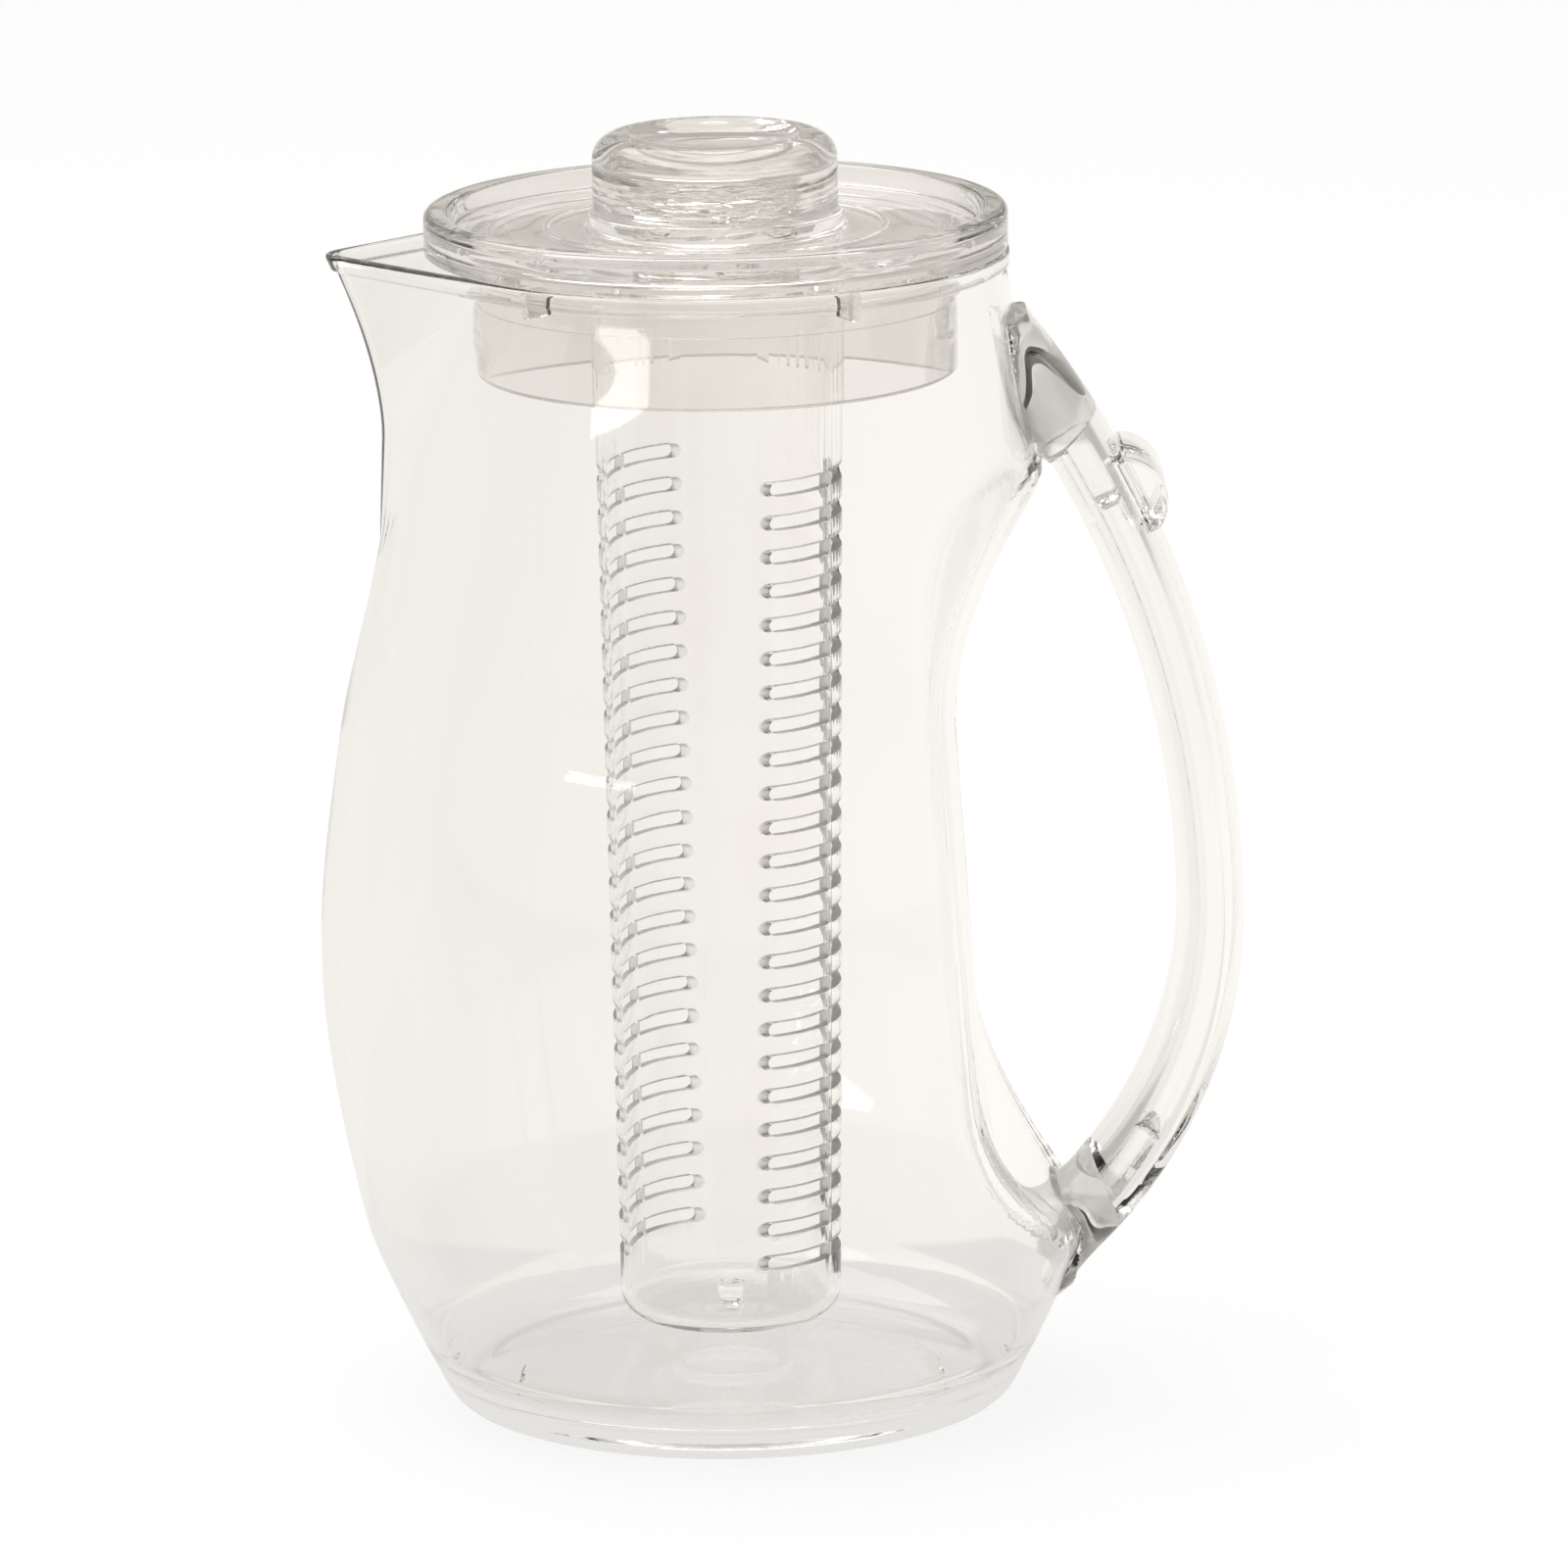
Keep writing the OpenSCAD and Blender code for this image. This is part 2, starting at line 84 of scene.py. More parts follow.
class Signal:
    """A socket's value that takes part in Python arithmetic."""

    def __init__(self, tree: bpy.types.NodeTree, socket: bpy.types.NodeSocket) -> None:
        """Keeps the socket and the tree that new Math nodes go into.

        Args:
            tree: Node tree of the material or world.
            socket: Output socket that holds the value.
        """
        self.tree = tree
        self.socket = socket

    def maths(self, operation: str, *others: "Signal | float", swap: bool = False) -> "Signal":
        """Adds one Math node.

        Args:
            operation: Blender's name of the operation.
            others: The other operands.
            swap: Puts this signal second instead of first.

        Returns:
            The node's result.
        """
        values: list[Signal | float] = [self, *others]
        if swap:
            values[0], values[1] = values[1], values[0]
        numbered = dict(enumerate(values))
        return Shop(self.tree).node("ShaderNodeMath", {"operation": operation}, numbered)

    def __add__(self, other: "Signal | float") -> "Signal":
        """Sum."""
        return self.maths("ADD", other)

    __radd__ = __add__

    def __sub__(self, other: "Signal | float") -> "Signal":
        """Difference."""
        return self.maths("SUBTRACT", other)

    def __rsub__(self, other: float) -> "Signal":
        """Difference, reflected."""
        return self.maths("SUBTRACT", other, swap=True)

    def __mul__(self, other: "Signal | float") -> "Signal":
        """Product."""
        return self.maths("MULTIPLY", other)

    __rmul__ = __mul__

    def most(self, other: "Signal | float") -> "Signal":
        """The larger of two values."""
        return self.maths("MAXIMUM", other)

    def between(self, low: float, high: float) -> "Signal":
        """Smooth share, from 0 at low to 1 at high.

        Args:
            low: Value that gives 0.
            high: Value that gives 1.

        Returns:
            The share.
        """
        return Shop(self.tree).node(
            "ShaderNodeMapRange",
            {"interpolation_type": "SMOOTHSTEP"},
            {"Value": self, "From Min": low, "From Max": high, "To Min": 0.0, "To Max": 1.0},
        )


class Shop:
    """Adds nodes to one tree."""

    def __init__(self, tree: bpy.types.NodeTree) -> None:
        """Keeps the tree."""
        self.tree = tree

    def node(
        self,
        kind: str,
        settings: dict[str, object] | None = None,
        inputs: dict[str | int, object] | None = None,
        output: str | int = 0,
    ) -> Signal:
        """Adds a node, sets it up and connects it.

        Args:
            kind: The node's type.
            settings: Its settings, set before its sockets.
            inputs: Values or signals by socket name or number.
            output: Socket that the signal is taken from.

        Returns:
            The chosen output.
        """
        made = self.tree.nodes.new(kind)
        for key, value in (settings or {}).items():
            setattr(made, key, value)
        for key, value in (inputs or {}).items():
            if isinstance(value, Signal):
                self.tree.links.new(value.socket, made.inputs[key])
            else:
                made.inputs[key].default_value = value
        return Signal(self.tree, made.outputs[output])

    def axes(self, place: Signal) -> list[Signal]:
        """X, Y and Z of a place."""
        split = self.node("ShaderNodeSeparateXYZ", inputs={0: place})
        return [Signal(self.tree, output) for output in split.socket.node.outputs]

    def away(self, a: Signal, b: Signal) -> Signal:
        """Distance from an axis, by the two coordinates across it."""
        return (a * a + b * b).maths("SQRT")

    def noise(self, place: Signal, scale: float, **inputs: float) -> Signal:
        """Adds a noise texture.

        Args:
            place: Where it is looked up.
            scale: Its grains in a metre.
            inputs: The texture's other values.

        Returns:
            Its height, from 0 to 1.
        """
        values = {"Vector": place, "Scale": scale, **inputs}
        return self.node("ShaderNodeTexNoise", {"noise_dimensions": "3D"}, values)

    def blend(self, share: Signal | float, low: Signal, high: Signal) -> Signal:
        """Mixes two shaders by a share of the second."""
        return self.node("ShaderNodeMixShader", inputs={0: share, 1: low, 2: high})

    def finish(self, kind: str, surface: Signal) -> None:
        """Adds the tree's output node and gives it a shader."""
        self.tree.links.new(surface.socket, self.tree.nodes.new(kind).inputs["Surface"])

    def colours(self, share: Signal, low: Colour | Signal, high: Colour | Signal) -> Signal:
        """Mixes two colours.

        Args:
            share: 0 gives low, 1 gives high.
            low: First colour.
            high: Second colour.

        Returns:
            The mixed colour.
        """
        ends = [c if isinstance(c, Signal) else (*c, 1.0) for c in (low, high)]
        inputs = {0: share, 6: ends[0], 7: ends[1]}
        return self.node("ShaderNodeMix", {"data_type": "RGBA"}, inputs, 2)


def emptied(owner: bpy.types.Material | bpy.types.World) -> Shop:
    """Gives a material or world an empty node tree.

    Args:
        owner: The material or world.

    Returns:
        The shop that fills its tree.
    """
    owner.use_nodes = True
    owner.node_tree.nodes.clear()
    return Shop(owner.node_tree)


# Finishes


@dataclass(frozen=True)
class MattCut:
    """Matt faces between the two surfaces of a tapered tube wall, in a darker colour that is
    painted shade.
    """

    foot_r: float = 22.4
    foot_z: float = 17.0
    taper: float = 2.9 / 219.5
    wall: float = 2.0
    low_z: float = 29.0
    high_z: float = 195.0
    skin: float = 0.12
    fade: float = 1.0
    roughness: float = 0.38
    # Painted shade: darker colour of the matt slot walls
    tint: Colour = (0.80, 0.785, 0.765)

    def share(self, shop: Shop, place: Signal) -> Signal:
        """Tells the matt faces from the polished ones.

        Args:
            shop: Adds the nodes.
            place: Place in the tube's own frame, in metres.

        Returns:
            1 on the matt faces, 0 elsewhere.
        """
        x, y, z = shop.axes(place)
        r = shop.away(x, y) - (z - self.foot_z * MM) * self.taper
        inner = (self.foot_r - self.wall + self.skin) * MM
        outer = (self.foot_r - self.skin) * MM
        edge, fade = self.skin * MM, self.fade * MM
        inside = r.between(inner - edge, inner) * (1.0 - r.between(outer, outer + edge))
        rows = z.between(self.low_z * MM - fade, self.low_z * MM)
        return inside * rows * (1.0 - z.between(self.high_z * MM, self.high_z * MM + fade))


@dataclass(frozen=True)
class CementHaze:
    """Solvent haze where the handle's roots are cemented, along each sweep."""

    middle_z: float = 100.0
    # Middle X and radius of each sweep, and the heights its root lies between
    roots: Sequence[tuple[float, float, float, float]] = (
        (-93.02, 191.2, 197.0, 217.0),
        (7.98, 90.2, 24.0, 43.5),
    )
    half: float = 7.6
    half_width: float = 12.6
    soft: float = 1.6
    share_white: float = 0.42
    through_share: float = 0.5
    colour: Colour = (0.84, 0.815, 0.785)

    def share(self, shop: Shop, place: Signal) -> Signal:
        """Tells the hazy roots from the clear wall.

        Args:
            shop: Adds the nodes.
            place: Place in the pitcher's own frame, in metres.

        Returns:
            1 at the roots, 0 elsewhere.
        """
        x, y, z = shop.axes(place)
        soft = self.soft * MM
        inside = None
        for middle_x, radius, low, high in self.roots:
            across, up = x - middle_x * MM, z - self.middle_z * MM
            off = (shop.away(across, up) - radius * MM).maths("ABSOLUTE")
            near = 1.0 - off.between(self.half * MM, self.half * MM + soft)
            rows = z.between(low * MM, low * MM + soft)
            rows = rows * (1.0 - z.between(high * MM - soft, high * MM)) * near
            inside = rows if inside is None else inside + rows
        side = y.maths("ABSOLUTE").between(self.half_width * MM, self.half_width * MM + soft)
        return inside * x.between(0.0, soft) * (1.0 - side) * self.share_white

    def over(self, shop: Shop, place: Signal, clear: Signal) -> Signal:
        """Lays the haze over a clear surface.

        Args:
            shop: Adds the nodes.
            place: Place in the pitcher's own frame, in metres.
            clear: The clear surface.

        Returns:
            The surface with its haze.
        """
        milky = [
            shop.node(kind, inputs={"Color": (*self.colour, 1.0)})
            for kind in ("ShaderNodeBsdfDiffuse", "ShaderNodeBsdfTranslucent")
        ]
        mixed = shop.blend(self.through_share, *milky)
        return shop.blend(self.share(shop, place), clear, mixed)


@dataclass(frozen=True)
class ClearPlastic:
    """Injection-moulded clear plastic, with flow ripples, faint smudges and an optional painted
    shade at its edge.
    """

    name: str
    slot: str
    tint: Colour = (0.997, 0.996, 0.992)
    thick_tint: Colour = (0.990, 0.987, 0.980)
    refraction: float = 1.49
    smudge: float = 0.035
    smears: float = 22.0
    smear_range: Point = (0.56, 0.78)
    flow_range: Point = (0.35, 0.7)
    ripple_mm: float = 0.012
    ripple_size_mm: float = 16.0
    grain_mm: float = 0.0006
    grains: float = 900.0
    stretch: Place = (1.0, 1.0, 0.35)
    # Painted shade: from this radius outwards the colour fades to a darker shade
    shade_r_mm: float = 0.0
    shade_fade_mm: float = 0.8
    painted_edge_shade: Colour = (0.86, 0.84, 0.815)
    cut: MattCut | None = None
    haze: CementHaze | None = None

    def material(self) -> bpy.types.Material:
        """Builds the finish.

        Returns:
            A procedural material.
        """
        made = bpy.data.materials.new(self.name)
        shop = emptied(made)
        place = shop.node("ShaderNodeTexCoord", output="Object")
        drawn = shop.node("ShaderNodeMapping", inputs={"Vector": place, "Scale": self.stretch})
        flow = shop.noise(drawn, 1.0 / (self.ripple_size_mm * MM), Detail=1.5, Roughness=0.4)
        smears = shop.noise(place, self.smears, Detail=5.0, Roughness=0.62, Distortion=0.8)
        grain = shop.noise(place, self.grains, Detail=2.0)
        rough = smears.between(*self.smear_range) * self.smudge
        colour = shop.colours(flow.between(*self.flow_range), self.tint, self.thick_tint)
        # Painted shade: the colour darkens beyond a radius, on the lid's raised edge
        if self.shade_r_mm:
            x, y = shop.axes(place)[:2]
            start = self.shade_r_mm * MM
            edge = shop.away(x, y).between(start, start + self.shade_fade_mm * MM)
            colour = shop.colours(edge, colour, self.painted_edge_shade)
        # Matt slot walls, with a darker colour that is painted shade
        if self.cut:
            matt = self.cut.share(shop, place)
            rough = rough + matt * self.cut.roughness
            colour = shop.colours(matt, colour, self.cut.tint)
        height = flow * (self.ripple_mm * MM) + grain * (self.grain_mm * MM)
        normal = shop.node(
            "ShaderNodeBump", inputs={"Height": height, "Strength": 1.0, "Distance": 1.0}
        )
        surface = shop.node(
            "ShaderNodeBsdfPrincipled",
            inputs={
                "Base Color": colour,
                "Roughness": rough,
                "Normal": normal,
                "IOR": self.refraction,
                "Transmission Weight": 1.0,
            },
        )
        if self.haze:
            surface = self.haze.over(shop, place, surface)
        shop.finish("ShaderNodeOutputMaterial", surface)
        return made


class Finish(enum.Enum):
    """The finishes of this object, one for each slot of the record."""

    BODY = ClearPlastic("clear_pitcher_wall", "clear_body", haze=CementHaze())
    HANDLE = ClearPlastic(
        "clear_handle_wall", "clear_handle", tint=(0.998, 0.996, 0.991), ripple_size_mm=11.0
    )
    LID = ClearPlastic(
        "clear_lid_plate",
        "clear_lid",
        # The plastic's warm tint, darkened further as painted shade of the thick lid
        tint=(0.935, 0.922, 0.905),
        thick_tint=(0.905, 0.889, 0.870),
        ripple_size_mm=9.0,
        # Painted shade on the raised edge, from 53 mm outwards
        shade_r_mm=53.0,
    )
    KNOB = ClearPlastic(
        "clear_knob_wall",
        "clear_knob",
        # The plastic's warm tint, darkened further as painted shade of the knob
        tint=(0.900, 0.886, 0.868),
        thick_tint=(0.870, 0.853, 0.832),
        ripple_mm=0.007,
        ripple_size_mm=8.0,
    )
    TUBE = ClearPlastic(
        "clear_infuser_wall",
        "clear_tube",
        thick_tint=(0.988, 0.984, 0.976),
        ripple_size_mm=10.0,
        cut=MattCut(),
    )


# Mesh helpers


def clamp(value: float, low: float = 0.0, high: float = 1.0) -> float:
    """Keeps a value between two limits."""
    return max(low, min(high, value))


def smooth_share(value: float) -> float:
    """Smoothstep of a share that is first kept between 0 and 1."""
    t = clamp(value)
    return t * t * (3.0 - 2.0 * t)


def soft_least(a: float, b: float, reach: float) -> float:
    """Smaller of two values, rounded where they meet.

    Args:
        a: First value.
        b: Second value.
        reach: Difference below which the two are blended.

    Returns:
        The blended value.
    """
    share = max(reach - abs(a - b), 0.0) / reach
    return min(a, b) - share * share * reach / 4.0


def rounded(corners: Sequence[Corner], steps: int = 6) -> list[Point]:
    """Rounds the corners of an open outline.

    Args:
        corners: Radius, height and rounding of each corner.
        steps: Straight steps in a rounding of a quarter turn.

    Returns:
        Points of the rounded outline.
    """
    path: list[Point] = []
    for i, (r, z, size) in enumerate(corners):
        if size <= 0.0 or i in (0, len(corners) - 1):
            path.append((r, z))
            continue
        here = Vector((r, z))
        back = (Vector(corners[i - 1][:2]) - here).normalized()
        on = (Vector(corners[i + 1][:2]) - here).normalized()
        half = math.acos(clamp(back.dot(on), -1.0, 1.0)) / 2.0
        centre = here + (back + on).normalized() * (size / math.sin(half))
        first = here + back * (size / math.tan(half)) - centre
        second = here + on * (size / math.tan(half)) - centre
        turn = math.pi - 2.0 * half
        if first.x * second.y - first.y * second.x < 0.0:
            turn = -turn
        count = max(2, round(steps * abs(turn) / (math.pi / 2.0)))
        for a in steps_between(0.0, turn, count):
            c, s = math.cos(a), math.sin(a)
            path.append(
                (centre.x + first.x * c - first.y * s, centre.y + first.x * s + first.y * c)
            )
    return path


def without_repeats(path: Sequence[Point]) -> list[Point]:
    """Drops points that repeat the one before them."""
    kept: list[Point] = []
    for p in path:
        if not kept or math.dist(kept[-1], p) > REPEATED:
            kept.append(p)
    return kept


def finer(path: Sequence[Point], longest: float) -> list[Point]:
    """Splits long straight stretches.

    Args:
        path: Points of an outline.
        longest: Longest stretch that stays whole.

    Returns:
        The outline with more points.
    """
    made = [path[0]]
    for a, b in zip(path, path[1:]):
        count = max(1, math.ceil(math.dist(a, b) / longest))
        places = zip(steps_between(a[0], b[0], count), steps_between(a[1], b[1], count))
        made += list(places)[1:]
    return made


def steps_between(low: float, high: float, count: int) -> list[float]:
    """Evenly spaced values from low to high, both included."""
    return [low + (high - low) * k / count for k in range(count + 1)]


def new_points(geom: Geom) -> list[bmesh.types.BMVert]:
    """The points in what an operator made."""
    return [g for g in geom if isinstance(g, bmesh.types.BMVert)]


def polar(v: bmesh.types.BMVert) -> Point:
    """Radius and angle of a point round the pitcher's axis."""
    return math.hypot(v.co.x, v.co.y), math.atan2(v.co.y, v.co.x)


def put(v: bmesh.types.BMVert, r: float, angle: float) -> None:
    """Moves a point to a radius and an angle round the pitcher's axis."""
    v.co.x, v.co.y = r * math.cos(angle), r * math.sin(angle)


def rotate(
    bm: bmesh.types.BMesh,
    points: Sequence[bmesh.types.BMVert],
    angle: float,
    axis: str = "Z",
    centre: Sequence[float] = ORIGIN,
) -> None:
    """Turns points by an angle in radians."""
    bmesh.ops.rotate(bm, cent=centre, matrix=Matrix.Rotation(angle, 3, axis), verts=list(points))


def bevel(bm: bmesh.types.BMesh, edges: Sequence[bmesh.types.BMEdge], offset: float) -> None:
    """Rounds edges."""
    bmesh.ops.bevel(
        bm,
        geom=list(edges),
        offset=offset,
        offset_type="OFFSET",
        segments=BEVEL_STEPS,
        profile=0.5,
        affect="EDGES",
        material=-1,
    )


def extrude_face(bm: bmesh.types.BMesh, face: bmesh.types.BMFace, way: Sequence[float]) -> None:
    """Extrudes one face along a vector."""
    made = bmesh.ops.extrude_face_region(bm, geom=[face])["geom"]
    bmesh.ops.translate(bm, vec=way, verts=new_points(made))


def clean(bm: bmesh.types.BMesh) -> None:
    """Merges doubles, removes empty faces and points the faces outwards."""
    bmesh.ops.remove_doubles(bm, verts=bm.verts, dist=SAME_POINT)
    bmesh.ops.dissolve_degenerate(bm, edges=bm.edges, dist=SAME_POINT)
    bmesh.ops.recalc_face_normals(bm, faces=bm.faces)


def turned(path: Sequence[Point], steps: int) -> bmesh.types.BMesh:
    """Spins an outline round the pitcher's axis.

    Args:
        path: Radius and height of each point. Both ends lie on the axis, or
            the last point repeats the first.
        steps: Steps in the full turn.

    Returns:
        A closed mesh.
    """
    bm = bmesh.new()
    points = [bm.verts.new((r, 0.0, z)) for r, z in without_repeats(path)]
    edges = [bm.edges.new(pair) for pair in zip(points, points[1:])]
    sector = math.tau / 2**DOUBLINGS
    bmesh.ops.spin(
        bm,
        geom=points + edges,
        cent=ORIGIN,
        axis=UPWARDS,
        dvec=ORIGIN,
        angle=sector,
        steps=steps // 2**DOUBLINGS,
    )
    for k in range(DOUBLINGS):
        copied = bmesh.ops.duplicate(bm, geom=[*bm.verts, *bm.edges, *bm.faces])["geom"]
        rotate(bm, new_points(copied), sector * 2**k)
    clean(bm)
    return bm


def linked(name: str, data: bpy.types.ID) -> bpy.types.Object:
    """Makes an object and links it to the scene.

    Args:
        name: The object's name.
        data: Its mesh, lamp or camera.

    Returns:
        The object.
    """
    made = bpy.data.objects.new(name, data)
    bpy.context.scene.collection.objects.link(made)
    return made


def as_object(bm: bmesh.types.BMesh, name: str, unit: float = MM) -> bpy.types.Object:
    """Turns a mesh into a linked object in metres.

    Args:
        bm: The mesh, which is freed.
        name: The object's name.
        unit: Length of the mesh's unit, in metres.

    Returns:
        The object.
    """
    bmesh.ops.scale(bm, vec=(unit, unit, unit), verts=bm.verts)
    mesh = bpy.data.meshes.new(name)
    bm.to_mesh(mesh)
    bm.free()
    return linked(name, mesh)


class Join(enum.Enum):
    """How one solid changes another."""

    ADD = "UNION"
    CUT = "DIFFERENCE"


def combined(
    base: bpy.types.Object, tools: Sequence[tuple[bpy.types.Object, Join]]
) -> bpy.types.Object:
    """Adds solids to a base, or cuts them out, and removes them.

    Args:
        base: Object that is changed.
        tools: Solids, each with what it does.

    Returns:
        The base, with its new mesh.
    """
    for tool, join in tools:
        change = base.modifiers.new("join", "BOOLEAN")
        change.operation = join.value
        change.solver = "EXACT"
        change.object = tool
    graph = bpy.context.evaluated_depsgraph_get()
    mesh = bpy.data.meshes.new_from_object(base.evaluated_get(graph))
    base.modifiers.clear()
    old = base.data
    base.data = mesh
    bpy.data.meshes.remove(old)
    mesh.name = base.name
    for tool, _ in tools:
        spare = tool.data
        bpy.data.objects.remove(tool)
        bpy.data.meshes.remove(spare)
    return base


def finished(made: bpy.types.Object, finish: Finish) -> bpy.types.Object:
    """Smooths a piece, keeps its crisp edges and gives it its material.

    Args:
        made: The piece.
        finish: Its finish.

    Returns:
        The piece.
    """
    bm = bmesh.new()
    bm.from_mesh(made.data)
    bmesh.ops.remove_doubles(bm, verts=bm.verts, dist=SAME_POINT * MM)
    bmesh.ops.dissolve_degenerate(bm, edges=bm.edges, dist=SAME_POINT * MM)
    limit = math.radians(CRISP_DEG)
    for face in bm.faces:
        face.smooth = True
    for edge in bm.edges:
        edge.smooth = len(edge.link_faces) != 2 or edge.calc_face_angle(0.0) < limit
    bm.to_mesh(made.data)
    bm.free()
    made.data.materials.clear()
    made.data.materials.append(finish.value.material())
    LOG.info("%s: %d faces", made.name, len(made.data.polygons))
    return made


# Pitcher


@dataclass
class HandleSweep:
    """Middle line and oval section that the handle and its stubs share."""

    middle_x: float = 98.18
    middle_z: float = 100.0
    upper_r: float = 191.2
    lower_r: float = 90.2
    thick: float = 13.6
    foot_thick: float = 15.2
    width: float = 26.0
    wall: float = 3.0
    square: float = 0.72
    upper_seam: float = 31.0
    lower_seam: float = -40.0
    upper_lean: float = 0.3
    lower_lean: float = -0.5
    ring_points: int = 96

    def radius(self, upper: bool) -> float:
        """Radius of the upper or lower sweep."""
        return self.upper_r if upper else self.lower_r

    def centre(self, upper: bool) -> Vector:
        """Centre of the upper or lower sweep."""
        return Vector((self.middle_x - self.radius(upper), 0.0, self.middle_z))

    def along(self, slope: float) -> Vector:
        """Direction of the middle line at a slope angle, upwards."""
        a = math.radians(slope)
        return Vector((-math.sin(a), 0.0, math.cos(a)))

    def thickness(self, slope: float) -> float:
        """Thickness from palm to fingers at a slope angle in degrees."""
        share = clamp(-slope / -self.lower_seam)
        return self.thick + (self.foot_thick - self.thick) * share

    def oval(self, j: int, inset: float) -> Vector:
        """Point of the oval section at the handle's furthest place.

        Args:
            j: Number of the point round the section.
            inset: How far the section is drawn in.

        Returns:
            The point.
        """
        half_t = self.thick / 2.0 - inset
        half_w = self.width / 2.0 - inset
        a = math.tau * j / self.ring_points
        c, s = math.cos(a), math.sin(a)
        u = half_t * math.copysign(abs(c) ** self.square, c)
        v = half_w * math.copysign(abs(s) ** self.square, s)
        return Vector((self.middle_x + u, v, self.middle_z))

    def ring(self, bm: bmesh.types.BMesh, inset: float) -> list[bmesh.types.BMEdge]:
        """Draws the oval section at the handle's furthest place.

        Args:
            bm: Mesh that gets the ring.
            inset: How far the ring is drawn in.

        Returns:
            The ring's edges.
        """
        points = [bm.verts.new(self.oval(j, inset)) for j in range(self.ring_points)]
        return [bm.edges.new(pair) for pair in zip(points, points[1:] + points[:1])]

    def drawn_in(
        self, bm: bmesh.types.BMesh, outer: Sequence[bmesh.types.BMEdge], inset: float
    ) -> list[bmesh.types.BMEdge]:
        """Extrudes a ring and draws the new one in, point by point.

        Args:
            bm: Mesh that has the ring.
            outer: Edges of a ring at the handle's furthest place.
            inset: How far the new ring is drawn in.

        Returns:
            The new ring's edges.
        """
        around = range(self.ring_points)
        places = {self.key(self.oval(j, 0.0)): self.oval(j, inset) for j in around}
        made = bmesh.ops.extrude_edge_only(bm, edges=list(outer))["geom"]
        for v in new_points(made):
            v.co = places[self.key(v.co)]
        return [e for e in made if isinstance(e, bmesh.types.BMEdge) and len(e.link_faces) == 1]

    @staticmethod
    def key(place: Vector) -> Point:
        """Name of a point of the section, by its place."""
        return round(place.x, 3), round(place.y, 3)

    def turn_to(self, bm: bmesh.types.BMesh, slope: float) -> None:
        """Carries a mesh from the furthest place to a slope angle in degrees."""
        rotate(bm, bm.verts, math.radians(-slope), "Y", self.centre(slope > 0.0))

    def sweep(
        self, bm: bmesh.types.BMesh, section: Geom, start: float, end: float, steps: int
    ) -> Geom:
        """Sweeps a section between two slope angles on one side of the middle.

        Args:
            bm: Mesh that has the section.
            section: What is swept.
            start: Slope angle where the section is, in degrees.
            end: Slope angle where the sweep ends.
            steps: Steps in the sweep.

        Returns:
            The section at the end.
        """
        return bmesh.ops.spin(
            bm,
            geom=list(section),
            cent=self.centre(start + end > 0.0),
            axis=SWEEP_AXIS,
            dvec=ORIGIN,
            angle=math.radians(end - start),
            steps=steps,
        )["geom_last"]

    def lean_and_swell(
        self, points: Sequence[bmesh.types.BMVert], lean: Callable[[float], float]
    ) -> None:
        """Thickens the sweep towards its foot and leans its sections.

        Args:
            points: Points of the sweep.
            lean: Lean against square, by slope angle in degrees.
        """
        for v in points:
            upper = v.co.z > self.middle_z
            pivot, radius = self.centre(upper), self.radius(upper)
            x, z = v.co.x - pivot.x, v.co.z - pivot.z
            slope = math.degrees(math.atan2(z, x))
            thick = self.thickness(slope)
            u = math.hypot(x, z) - radius
            u *= thick / self.thick
            u -= (thick - self.thick) / 2.0
            c, s = math.cos(math.radians(slope)), math.sin(math.radians(slope))
            shear = u * lean(slope)
            v.co.x = pivot.x + (radius + u) * c - shear * s
            v.co.z = pivot.z + (radius + u) * s + shear * c


